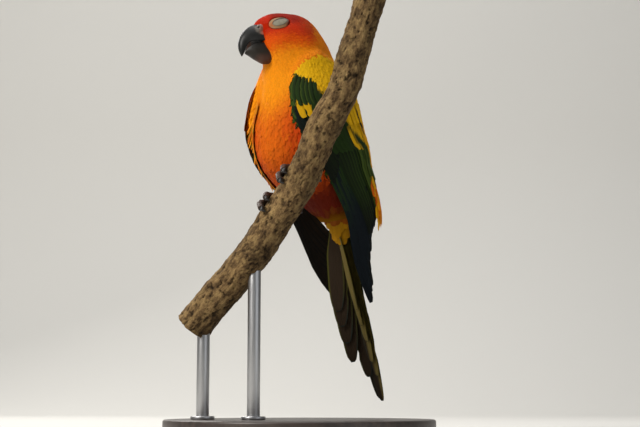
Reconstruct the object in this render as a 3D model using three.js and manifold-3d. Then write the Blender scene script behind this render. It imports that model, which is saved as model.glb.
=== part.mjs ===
// A sun conure dozing on a cut length of branch, life size, on a plain display stand.
// Millimetres, +Z up. The origin is the centre of the stand's underside. The breast faces
// between -X and -Y, the beak points to -X, and the tail hangs towards +X and +Y.

import * as THREE from "three";
import { mergeVertices } from "three/addons/utils/BufferGeometryUtils.js";
import Module from "manifold-3d";

const wasm = await Module();
wasm.setup();

// Driving sizes. Angles are in degrees.
const bodyMiddle = [8.3, 0, 194.6];
const bodyYaw = -45; // the breast faces this far round from -Y
const bodyLean = 25.5; // the back leans this far forward of upright
const tailLean = 17.8;
const bendTop = -42; // the spine turns from the body's lean to the tail's between these heights
const bendBottom = -66;
const headMiddle = [-8.8, -21, 249];
const headYaw = -78;
const headPitch = -3;
const headRoll = 13; // the crown tips away to the bird's right
const tailLength = 140; // of the middle pair, with its quills
const tailCutHeight = -62; // the torso ends and the tail begins
const wingTip = -117; // height of the tip of the longest flight feather
const nodeGap = 0.3; // between two pieces that touch
const jointGap = 0.35; // between a curved piece and what it lies on
const eyeForward = 6.6;
const eyeUp = 4.6;

// The trunk's sections: height up the spine, how far its centre lies towards the back,
// and the half widths across and from breast to back.
const trunkSections = [
  [58, 6, 11, 12],
  [50, 5, 18.5, 19.5],
  [38, 2, 24.5, 26],
  [24, -2, 29.5, 32],
  [10, -5.5, 32.5, 36],
  [-9, -8, 32.5, 36.5],
  [-28, -5, 29, 32],
  [-46, 0, 22, 23],
  [-62, 2, 15, 15],
  [-76, 0, 9.5, 8.5],
  [-88, -2, 5, 4],
];

const vec = (x, y, z) => new THREE.Vector3(x, y, z);
const turn = THREE.MathUtils.degToRad;
const mix = THREE.MathUtils.lerp;
const clamp = THREE.MathUtils.clamp;
const ease = THREE.MathUtils.smoothstep;

// A point from a base and steps along three directions.
function along(base, a, u, b, v, c, w) {
  return base.clone().addScaledVector(u, a).addScaledVector(v, b).addScaledVector(w, c);
}

// Directions of the trunk at a lean: up its length, to its left, and towards its back.
function trunkAxes(yaw, lean) {
  const y = turn(yaw);
  const l = turn(lean);
  const up = vec(Math.sin(y) * Math.sin(l), -Math.cos(y) * Math.sin(l), Math.cos(l));
  const left = vec(Math.cos(y), Math.sin(y), 0);
  return { up, left, back: up.clone().cross(left) };
}

const trunk = trunkAxes(bodyYaw, bodyLean);
const tailAxes = trunkAxes(bodyYaw, tailLean);

// The spine runs straight through the body and bends into the tail, one step a millimetre.
const spineTop = 80;
const spineSteps = 290;
const spine = [];
{
  let place = vec(...bodyMiddle).addScaledVector(trunk.up, spineTop);
  for (let i = 0; i <= spineSteps; i++) {
    const height = spineTop - i;
    const lean = mix(tailLean, bodyLean, ease(height, bendBottom, bendTop));
    const axes = trunkAxes(bodyYaw, lean);
    spine.push({ height, place, ...axes });
    place = place.clone().addScaledVector(axes.up, -1);
  }
}

function spineAt(height) {
  const t = clamp(spineTop - height, 0, spineSteps - 1e-6);
  const i = Math.floor(t);
  const a = spine[i];
  const b = spine[i + 1];
  const f = t - i;
  return {
    place: a.place.clone().lerp(b.place, f),
    up: a.up.clone().lerp(b.up, f).normalize(),
    left: a.left,
    back: a.back.clone().lerp(b.back, f).normalize(),
  };
}

// Smooth reading of a table whose first column falls.
function readTable(table, x) {
  const last = table.length - 1;
  if (x >= table[0][0]) return table[0].slice(1);
  if (x <= table[last][0]) return table[last].slice(1);
  let i = 0;
  while (table[i + 1][0] > x) i++;
  const p = table[Math.max(i - 1, 0)];
  const a = table[i];
  const b = table[i + 1];
  const q = table[Math.min(i + 2, last)];
  const t = (a[0] - x) / (a[0] - b[0]);
  return a.slice(1).map((y0, k) => {
    const y1 = b[k + 1];
    const m0 = ((y1 - p[k + 1]) / (p[0] - b[0] || 1)) * (a[0] - b[0]);
    const m1 = ((q[k + 1] - y0) / (a[0] - q[0] || 1)) * (a[0] - b[0]);
    const t2 = t * t;
    const t3 = t2 * t;
    return (2 * t3 - 3 * t2 + 1) * y0 + (t3 - 2 * t2 + t) * m0 + (3 * t2 - 2 * t3) * y1 + (t3 - t2) * m1;
  });
}

// A seeded random number, so that feathers and bark come out alike each time.
function seeded(seed) {
  let state = seed;
  return () => {
    state = (state * 1664525 + 1013904223) % 4294967296;
    return state / 4294967296;
  };
}

// The head's directions: to the beak, to its left, and to the crown.
const head = (() => {
  const y = turn(headYaw);
  const p = turn(headPitch);
  const r = turn(headRoll);
  const ahead = vec(Math.sin(y) * Math.cos(p), -Math.cos(y) * Math.cos(p), Math.sin(p));
  const level = vec(Math.cos(y), Math.sin(y), 0);
  const crown = ahead.clone().cross(level);
  return {
    middle: vec(...headMiddle),
    ahead,
    left: level.clone().multiplyScalar(Math.cos(r)).addScaledVector(crown, Math.sin(r)),
    crown: crown.clone().multiplyScalar(Math.cos(r)).addScaledVector(level, -Math.sin(r)),
  };
})();

const headPoint = (f, l, u) => along(head.middle, f, head.ahead, l, head.left, u, head.crown);

// The head is five rounded forms run together: where each middle lies forward, left and up
// of the head's middle, and its half sizes the same ways.
const skull = { at: [-2.5, 0, 0.5], size: [19, 15.6, 16] };
const brow = { at: [7, 0, 5], size: [11, 12, 12.3] };
const forehead = { at: [12.6, 0, 7.8], size: [8.9, 6.5, 7.4] };
const cheeks = { at: [3, 0, -6.5], size: [12, 14, 9.5] };
const nape = { at: [-10, 0, -9], size: [14, 15, 15] };
const foreheadBlend = 3; // how widely the forms run together
const browBlend = 4;
const cheekBlend = 6;
const neckBlend = 14;

// How far a point is outside one of them.
function outsideBall(p, ball) {
  const d = p.clone().sub(headPoint(...ball.at));
  const steps = [d.dot(head.ahead), d.dot(head.left), d.dot(head.crown)];
  const near = Math.hypot(...steps.map((step, i) => step / ball.size[i]));
  const steep = Math.hypot(...steps.map((step, i) => step / ball.size[i] ** 2));
  return steep < 1e-9 ? -Math.min(...ball.size) : (near * (near - 1)) / steep;
}

function blend(a, b, reach) {
  const h = Math.max(reach - Math.abs(a - b), 0) / reach;
  return Math.min(a, b) - (h * h * reach) / 4;
}

// A point's height up the spine, and how far it is to the left and towards the back.
function bodyPlace(p) {
  let height = p.clone().sub(vec(...bodyMiddle)).dot(trunk.up);
  let s = spineAt(height);
  for (let i = 0; i < 3; i++) {
    height += p.clone().sub(s.place).dot(s.up);
    s = spineAt(height);
  }
  const d = p.clone().sub(s.place);
  return { height, side: d.dot(s.left), depth: d.dot(s.back) };
}

// How far a point is outside the trunk.
const trunkTop = trunkSections[0][0];
const trunkBottom = trunkSections[trunkSections.length - 1][0];
function outsideTrunk(p) {
  const { height, side, depth } = bodyPlace(p);
  const [shift, across, through] = readTable(trunkSections, height);
  const past = Math.max(height - trunkTop, trunkBottom - height, 0);
  const k = Math.hypot(side / across, (depth - shift) / through);
  return (k - 1) * Math.min(across, through) + past;
}

function outsideHead(p) {
  const front = blend(outsideBall(p, brow), outsideBall(p, forehead), foreheadBlend);
  const above = blend(outsideBall(p, skull), front, browBlend);
  const below = blend(outsideBall(p, cheeks), outsideBall(p, nape), cheekBlend);
  return blend(above, below, cheekBlend);
}

function outsideBody(p) {
  return blend(outsideTrunk(p), outsideHead(p), neckBlend);
}

// What the folded wings lie on: the body, and from the flank a straight taper to their tips.
const flankHeight = -14;
const flankSize = [31, 34];
const tipSize = [14.5, 7];
function outsideWingBed(p) {
  const { height, side, depth } = bodyPlace(p);
  if (height > flankHeight) return outsideBody(p);
  const t = (flankHeight - height) / (flankHeight - wingTip);
  const across = mix(flankSize[0], tipSize[0], t);
  const through = mix(flankSize[1], tipSize[1], t);
  const [shift] = readTable(trunkSections, height);
  const k = Math.hypot(side / across, (depth - shift) / through);
  return Math.min((k - 1) * Math.min(across, through), outsideBody(p));
}

// Distance from a start inside the body to its surface.
function reachFrom(start, direction, outside, longest) {
  let low = 0;
  let high = 4;
  while (high < longest && outside(start.clone().addScaledVector(direction, high)) < 0) {
    low = high;
    high += 2;
  }
  for (let i = 0; i < 22; i++) {
    const middle = (low + high) / 2;
    if (outside(start.clone().addScaledVector(direction, middle)) < 0) low = middle;
    else high = middle;
  }
  return (low + high) / 2;
}

// Closed meshes from rings of points, and the joining and cutting of them.
function geometryFrom(points, faces) {
  const g = new THREE.BufferGeometry();
  g.setAttribute("position", new THREE.Float32BufferAttribute(points.flatMap((p) => [p.x, p.y, p.z]), 3));
  g.setIndex(faces);
  return g;
}

function solidFrom(geometry) {
  const g = geometry.clone();
  for (const name of ["normal", "uv"]) g.deleteAttribute(name);
  const merged = mergeVertices(g, 1e-4);
  const vertProperties = new Float32Array(merged.attributes.position.array);
  const triVerts = new Uint32Array(merged.index.array);
  const make = () => new wasm.Manifold(new wasm.Mesh({ numProp: 3, vertProperties, triVerts }));
  if (make().volume() > 0) return make();
  for (let i = 0; i < triVerts.length; i += 3) {
    [triVerts[i + 1], triVerts[i + 2]] = [triVerts[i + 2], triVerts[i + 1]];
  }
  return make();
}

function ringsSolid(rings) {
  const sides = rings[0].length;
  const points = rings.flat();
  const faces = [];
  for (let i = 0; i + 1 < rings.length; i++) {
    for (let j = 0; j < sides; j++) {
      const a = i * sides + j;
      const b = i * sides + ((j + 1) % sides);
      faces.push(a, b, b + sides, a, b + sides, a + sides);
    }
  }
  for (const [ring, flip] of [[0, true], [rings.length - 1, false]]) {
    const middle = rings[ring].reduce((sum, p) => sum.add(p), vec(0, 0, 0)).divideScalar(sides);
    points.push(middle);
    for (let j = 0; j < sides; j++) {
      const a = ring * sides + j;
      const b = ring * sides + ((j + 1) % sides);
      faces.push(...(flip ? [b, a, points.length - 1] : [a, b, points.length - 1]));
    }
  }
  return solidFrom(geometryFrom(points, faces));
}

// The largest closed surface of what cutting left, without its shortest edges.
const shortestEdge = 0.02;
function largest(solid) {
  return solid.simplify(shortestEdge).decompose().sort((a, b) => b.volume() - a.volume())[0];
}

function joinAll(solids) {
  return largest(wasm.Manifold.union(solids));
}

// A big block on the far side of a plane, to cut with.
function halfSpace(point, normal, size = 400) {
  const box = new THREE.BoxGeometry(size, size, size);
  box.translate(0, 0, size / 2);
  const q = new THREE.Quaternion().setFromUnitVectors(vec(0, 0, 1), normal.clone().normalize());
  box.applyQuaternion(q);
  box.translate(point.x, point.y, point.z);
  return solidFrom(box);
}

function ellipsoid(middle, axes, radii, across = 16, down = 10) {
  const g = new THREE.SphereGeometry(1, across, down);
  const m = new THREE.Matrix4().makeBasis(
    axes[0].clone().multiplyScalar(radii[0]),
    axes[1].clone().multiplyScalar(radii[1]),
    axes[2].clone().multiplyScalar(radii[2]),
  );
  g.applyMatrix4(m);
  g.translate(middle.x, middle.y, middle.z);
  return solidFrom(g);
}

// A tube of changing radius along points.
function taperedTube(points, radii, sides) {
  const rings = [];
  let side = null;
  points.forEach((p, i) => {
    const before = points[Math.max(i - 1, 0)];
    const after = points[Math.min(i + 1, points.length - 1)];
    const t = after.clone().sub(before).normalize();
    if (!side) side = Math.abs(t.z) < 0.9 ? vec(0, 0, 1).cross(t) : vec(1, 0, 0).cross(t);
    side = side.addScaledVector(t, -side.dot(t)).normalize();
    const other = t.clone().cross(side);
    const ring = [];
    for (let j = 0; j < sides; j++) {
      const a = (2 * Math.PI * j) / sides;
      ring.push(along(p, radii[i] * Math.cos(a), side, radii[i] * Math.sin(a), other, 0, t));
    }
    rings.push(ring);
  });
  return ringsSolid(rings);
}

// A feather: a thin vane through its stations, split alike on both faces. Each station has its
// middle, the way across and the way out, how wide it is to either side, and its thickness.
function vaneSolid(stations) {
  const points = stations.flatMap(({ middle, across, out, before, after, thick }) => [
    along(middle, -before, across, thick / 2, out, 0, out),
    along(middle, after, across, thick / 2, out, 0, out),
    along(middle, after, across, -thick / 2, out, 0, out),
    along(middle, -before, across, -thick / 2, out, 0, out),
  ]);
  const faces = [0, 2, 1, 0, 3, 2];
  for (let n = 0; n + 1 < stations.length; n++) {
    const a = n * 4;
    const b = a + 4;
    for (let i = 0; i < 4; i++) {
      const j = (i + 1) % 4;
      if (i === 2) faces.push(a + i, a + j, b + i, a + j, b + j, b + i);
      else faces.push(a + i, a + j, b + j, a + i, b + j, b + i);
    }
  }
  const end = (stations.length - 1) * 4;
  faces.push(end, end + 1, end + 2, end, end + 2, end + 3);
  return solidFrom(geometryFrom(points, faces));
}

// How wide a feather is along its length, as a share of its widest: a narrow root, then the
// vane at its full width, then a rounded tip.
const rootWidth = 0.5;
const fullWidthFrom = 0.35;
const tipFrom = 0.62;
function vaneWidth(t, tipWidth) {
  const stem = mix(rootWidth, 1, ease(t, 0, fullWidthFrom));
  const past = Math.max(t - tipFrom, 0) / (1 - tipFrom);
  return stem * mix(tipWidth, 1, Math.sqrt(Math.max(1 - past ** 2, 0)));
}

// The skin of the trunk and neck: rings of rays from the spine.
const trunkSides = 28;
const trunkRingGap = 7;
function trunkSkin(grow) {
  const rings = [];
  const bottom = trunkSections[trunkSections.length - 1][0];
  for (let height = trunkTop - 2; height > bottom; height -= trunkRingGap) {
    const s = spineAt(height);
    const [shift] = readTable(trunkSections, height);
    const start = along(s.place, shift, s.back, 0, s.up, 0, s.left);
    const ring = [];
    for (let j = 0; j < trunkSides; j++) {
      const a = (2 * Math.PI * j) / trunkSides;
      const direction = along(vec(0, 0, 0), Math.cos(a), s.left, Math.sin(a), s.back, 0, s.up);
      const r = reachFrom(start, direction, outsideBody, 60);
      ring.push(start.clone().addScaledVector(direction, r + grow));
    }
    rings.push(ring);
  }
  return ringsSolid(rings);
}

// The skin of the head: rays from its middle.
const headSides = 24;
const headRows = 15;
function headSkin(grow) {
  const g = new THREE.SphereGeometry(1, headSides, headRows);
  const at = g.attributes.position;
  for (let i = 0; i < at.count; i++) {
    const n = vec(at.getX(i), at.getY(i), at.getZ(i));
    const direction = along(vec(0, 0, 0), n.y, head.ahead, n.x, head.left, n.z, head.crown).normalize();
    const r = reachFrom(head.middle, direction, outsideBody, 45);
    const p = head.middle.clone().addScaledVector(direction, r + grow);
    at.setXYZ(i, p.x, p.y, p.z);
  }
  return solidFrom(g);
}

// Planes that part head, neck and torso.
const neckTopBack = 4; // where the upper plane passes, back and down from the head's middle
const neckTopDown = 13.5;
const neckTopPoint = headPoint(-neckTopBack, 0, -neckTopDown);
const neckTopNormal = along(vec(0, 0, 0), 0.5, trunk.up, 0.62, head.crown, 0.25, head.ahead).normalize();
const neckBottomHeight = 34;
const neckBottomPoint = spineAt(neckBottomHeight).place;

const colours = {
  redHead: 0xd8320c,
  orange: 0xe8780c,
  breast: 0xe96a06,
  green: 0x2f4a1c,
  blueBlack: 0x151b22,
  olive: 0x4a4526,
  horn: 0x23211f,
  lid: 0xb9b3a4,
  toe: 0x5b524c,
  bark: 0x7a5f42,
  steel: 0xb8bcc0,
  base: 0x3a3d40,
};

const bird = new THREE.Group();
function add(name, solid, colour, roughness = 0.7, metalness = 0) {
  const m = solid.getMesh();
  const points = new Float32Array(m.numVert * 3);
  for (let i = 0; i < m.numVert; i++) {
    points.set(m.vertProperties.subarray(i * m.numProp, i * m.numProp + 3), i * 3);
  }
  const g = new THREE.BufferGeometry();
  g.setAttribute("position", new THREE.BufferAttribute(points, 3));
  g.setIndex(new THREE.BufferAttribute(m.triVerts, 1));
  const mesh = new THREE.Mesh(g, new THREE.MeshStandardMaterial({ color: colour, roughness, metalness }));
  mesh.name = name;
  bird.add(mesh);
}

// The upper bill: the ridge and the cutting edge, as forward and upward steps from the
// middle of the head, with the half width between them.
const upperBill = [
  [[10, 9], [10, -4], 6.8],
  [[16, 9.6], [15.5, -4.4], 6.8],
  [[20.5, 9.2], [18.8, -4.4], 6.4],
  [[25.2, 6.8], [21.6, -4.3], 5.7],
  [[29.2, 2.2], [24, -4.7], 4.8],
  [[31, -3], [25.8, -6.3], 3.8],
  [[31, -7.6], [27.2, -8.9], 2.7],
  [[30.2, -11.2], [28.1, -11.4], 1.5],
  [[29.1, -14], [28.6, -14.1], 0.35],
];
const lowerBill = [
  [[9, -5.2], [9, -16.2], 5.4],
  [[13, -5.2], [13, -17.4], 5.5],
  [[16.5, -5.3], [16.4, -17.4], 5.4],
  [[20, -5.6], [19.6, -15.6], 4.9],
  [[23, -6.4], [22.6, -13.2], 4.1],
  [[25, -7.9], [24.8, -11.3], 3],
  [[26.1, -9.3], [25.9, -10], 1.6],
];

// A bill half from its rows: an arch over the outer line, closed along the inner line.
const archSteps = 8;
function billForm(rows, outerUp) {
  const rings = rows.map(([a, b, half]) => {
    const outer = outerUp ? a : b;
    const inner = outerUp ? b : a;
    const ring = [];
    for (let i = 0; i <= archSteps; i++) {
      const t = (Math.PI * i) / archSteps;
      const rise = Math.pow(Math.sin(t), 0.75);
      const f = mix(inner[0], outer[0], rise);
      const u = mix(inner[1], outer[1], rise);
      ring.push(headPoint(f, half * Math.cos(t) * (1 + 0.12 * Math.sin(t)), u));
    }
    ring.push(headPoint(inner[0], -half * 0.45, inner[1] + (outerUp ? 0.5 : -0.5)));
    ring.push(headPoint(inner[0], half * 0.45, inner[1] + (outerUp ? 0.5 : -0.5)));
    return ring;
  });
  return ringsSolid(rings);
}

// The bare grey skin over the upper bill, with the nostrils.
function cereForm() {
  const bumps = [1, -1].map((side) => ellipsoid(
    headPoint(16.2, side * 3.7, 4.3),
    [head.ahead, head.left, head.crown],
    [3.3, 3.5, 3.9],
    12,
    8,
  ));
  return bumps[0].add(bumps[1]);
}

const wholeTrunk = trunkSkin(0);
const wideTrunk = trunkSkin(jointGap);
const wholeHead = headSkin(0);
const wideHead = headSkin(nodeGap);
const aboveNeck = halfSpace(neckTopPoint, neckTopNormal);
const aboveNeckWide = halfSpace(neckTopPoint.clone().addScaledVector(neckTopNormal, -nodeGap), neckTopNormal);

// Bill. The nostrils are round pits in the cere.
const nostrils = [1, -1].map((side) => ellipsoid(
  headPoint(18.2, side * 6.1, 5),
  [head.ahead, head.left, head.crown],
  [1.2, 1.1, 1.1],
  8,
  6,
));
const upperForm = billForm(upperBill, true).add(cereForm());
const billUpper = largest(upperForm.subtract(nostrils[0]).subtract(nostrils[1]).subtract(wideHead));
const billLower = largest(billForm(lowerBill, false).subtract(wideHead).subtract(wideTrunk));

// Closed eyes: a lid over the eyeball in a ring of bare skin, with the line where the lids meet.
const lidSize = [5.1, 2.3, 3.3];
const ringSize = [6.5, 4.5, 4.3];
const ringHeight = 0.7;
const lidSunk = 0.9;
const lidLineHalf = 4.6;
const lidLineBow = 1.3;
const lidLineDeep = 0.32;
function eyeMiddle(side) {
  const start = headPoint(eyeForward, 0, eyeUp);
  const direction = head.left.clone().multiplyScalar(side);
  return start.clone().addScaledVector(direction, reachFrom(start, direction, outsideBody, 40));
}

function eyeAxes(side) {
  const out = head.left.clone().multiplyScalar(side).addScaledVector(head.ahead, 0.28).normalize();
  const ahead = head.ahead.clone().addScaledVector(out, -head.ahead.dot(out)).normalize();
  return [ahead, out, ahead.clone().cross(out).multiplyScalar(side > 0 ? 1 : -1)];
}

function eyeForm(side, grow) {
  const axes = eyeAxes(side);
  const middle = eyeMiddle(side).addScaledVector(axes[1], -lidSunk);
  const lid = ellipsoid(middle, axes, lidSize.map((r) => r + grow), 12, 8);
  const ring = ellipsoid(middle, axes, ringSize.map((r) => r + grow), 12, 6);
  return lid.add(ring.intersect(headSkin(ringHeight + grow)));
}

function lidLine(side) {
  const [ahead, out, up] = eyeAxes(side);
  const middle = eyeMiddle(side).addScaledVector(out, -lidSunk);
  const points = [];
  for (let i = 0; i <= 8; i++) {
    const x = mix(-lidLineHalf, lidLineHalf, i / 8);
    const y = lidLineBow * (1 - (x / lidSize[0]) ** 2) + 0.2;
    const rise = lidSize[1] * Math.sqrt(Math.max(1 - (x / lidSize[0]) ** 2 - (y / lidSize[2]) ** 2, 0.02));
    points.push(along(middle, x, ahead, y, up, Math.max(rise, lidSunk) + 0.1, out));
  }
  return taperedTube(points, points.map(() => lidLineDeep), 6);
}

// The corner of the mouth: a short groove back from the bill into the cheek.
function mouthLine(side) {
  const points = [];
  for (let i = 0; i <= 5; i++) {
    const f = mix(16.5, 9.2, i / 5);
    const start = headPoint(f - 4, 0, mix(-5, -7.2, (i / 5) ** 1.5));
    const direction = head.left.clone().multiplyScalar(side).addScaledVector(head.ahead, 0.45).normalize();
    const r = reachFrom(start, direction, outsideBody, 40);
    points.push(start.clone().addScaledVector(direction, r + 0.15));
  }
  return taperedTube(points, [0.7, 0.7, 0.65, 0.55, 0.4, 0.25], 6);
}

let headSolid = wholeHead.intersect(aboveNeck);
for (const side of [1, -1]) {
  headSolid = headSolid.subtract(eyeForm(side, nodeGap)).subtract(mouthLine(side));
  const lids = largest(eyeForm(side, 0).subtract(lidLine(side)));
  add(side > 0 ? "eye_left" : "eye_right", lids, colours.lid, 0.8);
}
add("head", largest(headSolid), colours.redHead);
add("bill_upper", billUpper, colours.horn, 0.35);
add("bill_lower", billLower, colours.horn, 0.35);

const belowHead = wholeTrunk.subtract(aboveNeckWide);
const neckCut = (shift) => halfSpace(neckBottomPoint.clone().addScaledVector(trunk.up, shift), trunk.up);
const tailCutAt = spineAt(tailCutHeight);
const tailCut = (shift) => halfSpace(
  tailCutAt.place.clone().addScaledVector(tailCutAt.up, shift),
  tailCutAt.up.clone().negate(),
);
add("neck", largest(belowHead.intersect(neckCut(nodeGap / 2))), colours.orange);
const torso = belowHead.subtract(neckCut(-nodeGap / 2)).subtract(tailCut(nodeGap / 2));
add("torso", largest(torso), colours.breast);

const rightTipOut = 7.5;
const rightTipBack = 20;

// A point over the bed the wings lie on: height up the spine, angle round it from the side
// towards the back, and distance off the bed.
function wingPlace(side, height, angle, off) {
  if (side < 0) {
    // The right wing's tip stands further out, over the spread side of the tail.
    off += rightTipOut * ease(-height, 30, -wingTip);
    angle += rightTipBack * ease(-height, 65, -wingTip - 10);
  }
  const s = spineAt(height);
  const [shift] = readTable(trunkSections, height);
  const start = along(s.place, shift, s.back, 0, s.up, 0, s.left);
  const a = turn(angle);
  const direction = along(vec(0, 0, 0), side * Math.cos(a), s.left, Math.sin(a), s.back, 0, s.up);
  return start.addScaledVector(direction, reachFrom(start, direction, outsideWingBed, 70) + off);
}

// The folded wing: height, its edges as angles round the body, and its thickness.
const wingRows = [
  [48, -34, -10, 0.9],
  [42, -50, 8, 3],
  [32, -57, 30, 4.8],
  [18, -55, 40, 4.8],
  [0, -48, 42, 4.3],
  [-20, -41, 36, 3.7],
  [-40, -42, 22, 3.2],
  [-60, -42, 6, 2.8],
  [-78, -39, -4, 2.4],
  [-96, -32, -5, 1.9],
  [-110, -23, -8, 1.5],
  [-117, -17, -12, 1.1],
];
const wingRise = 0.75;
const coreSunk = 1.2; // the arm's own form lies this far under the feathers' outer faces
const coreBottom = -30;
const coreThinnest = 0.7;

function wingCore(side) {
  const rings = [];
  const top = wingRows[0][0];
  const steps = 9;
  const across = 7;
  for (let i = 0; i <= steps; i++) {
    const height = mix(top, coreBottom, i / steps);
    const [from, to, thick] = readTable(wingRows, height);
    const outer = [];
    const inner = [];
    for (let j = 0; j <= across; j++) {
      const v = j / across;
      const angle = mix(from, to, v);
      const edge = 1 - Math.abs(2 * v - 1) ** 3;
      const high = Math.max((thick - coreSunk) * edge ** 0.7, coreThinnest);
      outer.push(wingPlace(side, height, angle, wingRise + high));
      inner.push(wingPlace(side, height, angle, wingRise));
    }
    rings.push([...outer, ...inner.reverse()]);
  }
  return ringsSolid(rings);
}

// The mean radius of the bed at a height, to turn millimetres across the wing into angles.
function bedRadius(height) {
  if (height > flankHeight) {
    const [, across, through] = readTable(trunkSections, height);
    return (across + through) / 2;
  }
  const t = (flankHeight - height) / (flankHeight - wingTip);
  return (mix(flankSize[0], tipSize[0], t) + mix(flankSize[1], tipSize[1], t)) / 2;
}

function wingAngle(height, inward) {
  const [lead] = readTable(wingRows, height);
  return lead + THREE.MathUtils.radToDeg(inward / bedRadius(height));
}

// The way out of the wing's bed at a point.
function bedNormal(p) {
  const step = 0.4;
  const here = outsideWingBed(p);
  const steps = [vec(step, 0, 0), vec(0, step, 0), vec(0, 0, step)];
  return vec(...steps.map((d) => outsideWingBed(p.clone().add(d)) - here)).normalize();
}

// The wing's feathers in tiers, deepest first. Roots and tips run from the feather nearest the
// leading edge to the one nearest the back, each as a height and the millimetres inward from
// the leading edge. Half is the half width, outer the share of it on the leading side, and
// sunk is how far the roots and the tips lie under the wing's outer faces.
const wingTiers = [
  {
    // primaries
    count: 6, half: 4.6, outer: 0.75, tip: 0.22, sunk: [2, 0.5], stations: 4,
    roots: [[6, 4], [-2, 13]],
    tips: [[-105, 2.2], [-117, 1], [-110, 3.5], [-100, 6], [-88, 9], [-76, 12]],
  },
  {
    // secondaries
    count: 4, half: 6.8, outer: 0.85, tip: 0.45, sunk: [1.7, 0.4], stations: 4,
    roots: [[2, 14], [-4, 33]],
    tips: [[-73, 12.5], [-66, 17], [-58, 22]],
  },
  {
    // tertials
    count: 2, half: 7.2, outer: 1, tip: 0.5, sunk: [1.4, 0], stations: 4,
    roots: [[0, 38], [0, 44]],
    tips: [[-54, 24], [-44, 31]],
  },
  {
    // coverts of the wrist
    count: 3, half: 4.4, outer: 0.8, tip: 0.4, sunk: [2.3, 1.6], stations: 3,
    roots: [[24, 4.5], [16, 11]],
    tips: [[-16, 3.5], [-8, 13]],
  },
  {
    // greater coverts
    count: 4, half: 6.6, outer: 0.85, tip: 0.55, sunk: [1.6, 0], stations: 3,
    roots: [[8, 15], [6, 43]],
    tips: [[-13, 17], [-19, 39]],
  },
  {
    // middle coverts
    count: 4, half: 7, outer: 0.85, tip: 0.6, sunk: [1.7, 0.5], stations: 3,
    roots: [[23, 13], [22, 42]],
    tips: [[4, 14], [0, 41]],
  },
  {
    // scapulars
    count: 2, half: 6.5, outer: 1, tip: 0.5, sunk: [1.4, 0.2], stations: 3,
    roots: [[24, 46], [14, 50]],
    tips: [[-8, 47], [-26, 42]],
  },
];
const vaneThick = 0.85;
const vaneTilt = 11; // the edge nearer the wing's leading edge is raised over the next vane

function onList(list, t) {
  const curve = new THREE.CatmullRomCurve3(list.map(([a, b]) => vec(a, b, 0)));
  const p = curve.getPoint(t);
  return [p.x, p.y];
}

function wingVane(side, tier, share, random) {
  const [h0, in0] = onList(tier.roots, share);
  const [h1, in1] = onList(tier.tips, share);
  const longer = (random() - 0.5) * 0.03;
  const wide = tier.half * (1 + (random() - 0.5) * 0.12);
  const tilt = turn(vaneTilt + (random() - 0.5) * 3);
  const shares = [...Array(tier.stations).keys()].map((n) => (n / (tier.stations - 1)) ** 0.8);
  const middles = shares.map((t) => {
    const height = mix(h0, h1 + (h1 - h0) * longer, t);
    const [, , thick] = readTable(wingRows, height);
    const off = wingRise + Math.max(thick, 1.1) - mix(tier.sunk[0], tier.sunk[1], t ** 0.7);
    return wingPlace(side, height, wingAngle(height, mix(in0, in1, t)), off);
  });
  return vaneSolid(middles.map((middle, n) => {
    const next = middles[Math.min(n + 1, shares.length - 1)];
    const onward = next.clone().sub(middles[Math.max(n - 1, 0)]).normalize();
    const normal = bedNormal(middle);
    const out = normal.addScaledVector(onward, -normal.dot(onward)).normalize();
    const across = onward.clone().cross(out).multiplyScalar(-side);
    const leant = along(vec(0, 0, 0), Math.cos(tilt), across, -Math.sin(tilt), out, 0, out);
    const up = along(vec(0, 0, 0), Math.cos(tilt), out, Math.sin(tilt), across, 0, out);
    const half = wide * vaneWidth(shares[n], tier.tip);
    const thick = vaneThick * (n === shares.length - 1 ? 0.65 : 1);
    return { middle, across: leant, out: up, before: half * tier.outer, after: half, thick };
  }));
}

for (const side of [1, -1]) {
  const random = seeded(side > 0 ? 9 : 17);
  const vanes = wingTiers.flatMap((tier) => {
    const shares = [...Array(tier.count).keys()].map((n) => n / (tier.count - 1));
    return shares.map((share) => wingVane(side, tier, share, random));
  });
  const wing = joinAll([wingCore(side), ...vanes]).subtract(wideTrunk).subtract(wideHead);
  add(side > 0 ? "wing_left" : "wing_right", largest(wing), colours.green);
}

// The tail's feathers in pairs from the middle one: length, how far each leans out to the right
// and to the left in degrees, and the half width. The outer ones lie lower, as in a roof.
const tailTop = -60; // height of the roots
const tailPairs = [
  { length: tailLength - 16, right: 0.2, left: 0.2, half: 5.6, slope: 6 },
  { length: 108, right: 1.6, left: 1.2, half: 5.8, slope: 14 },
  { length: 97, right: 6.4, left: 1, half: 6.2, slope: 22 },
  { length: 83, right: 7.4, left: 2.8, half: 6.2, slope: 26 },
  { length: 71, right: 8.4, left: 4, half: 6, slope: 28 },
  { length: 60, right: 9.4, left: 5.4, half: 5.5, slope: 30 },
];
const tailStep = 1.15; // each feather lies this far under the next one in
const ridgeStep = 1; // the middle pair lie over one another
const rootSpread = 0.9; // between neighbouring roots

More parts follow.
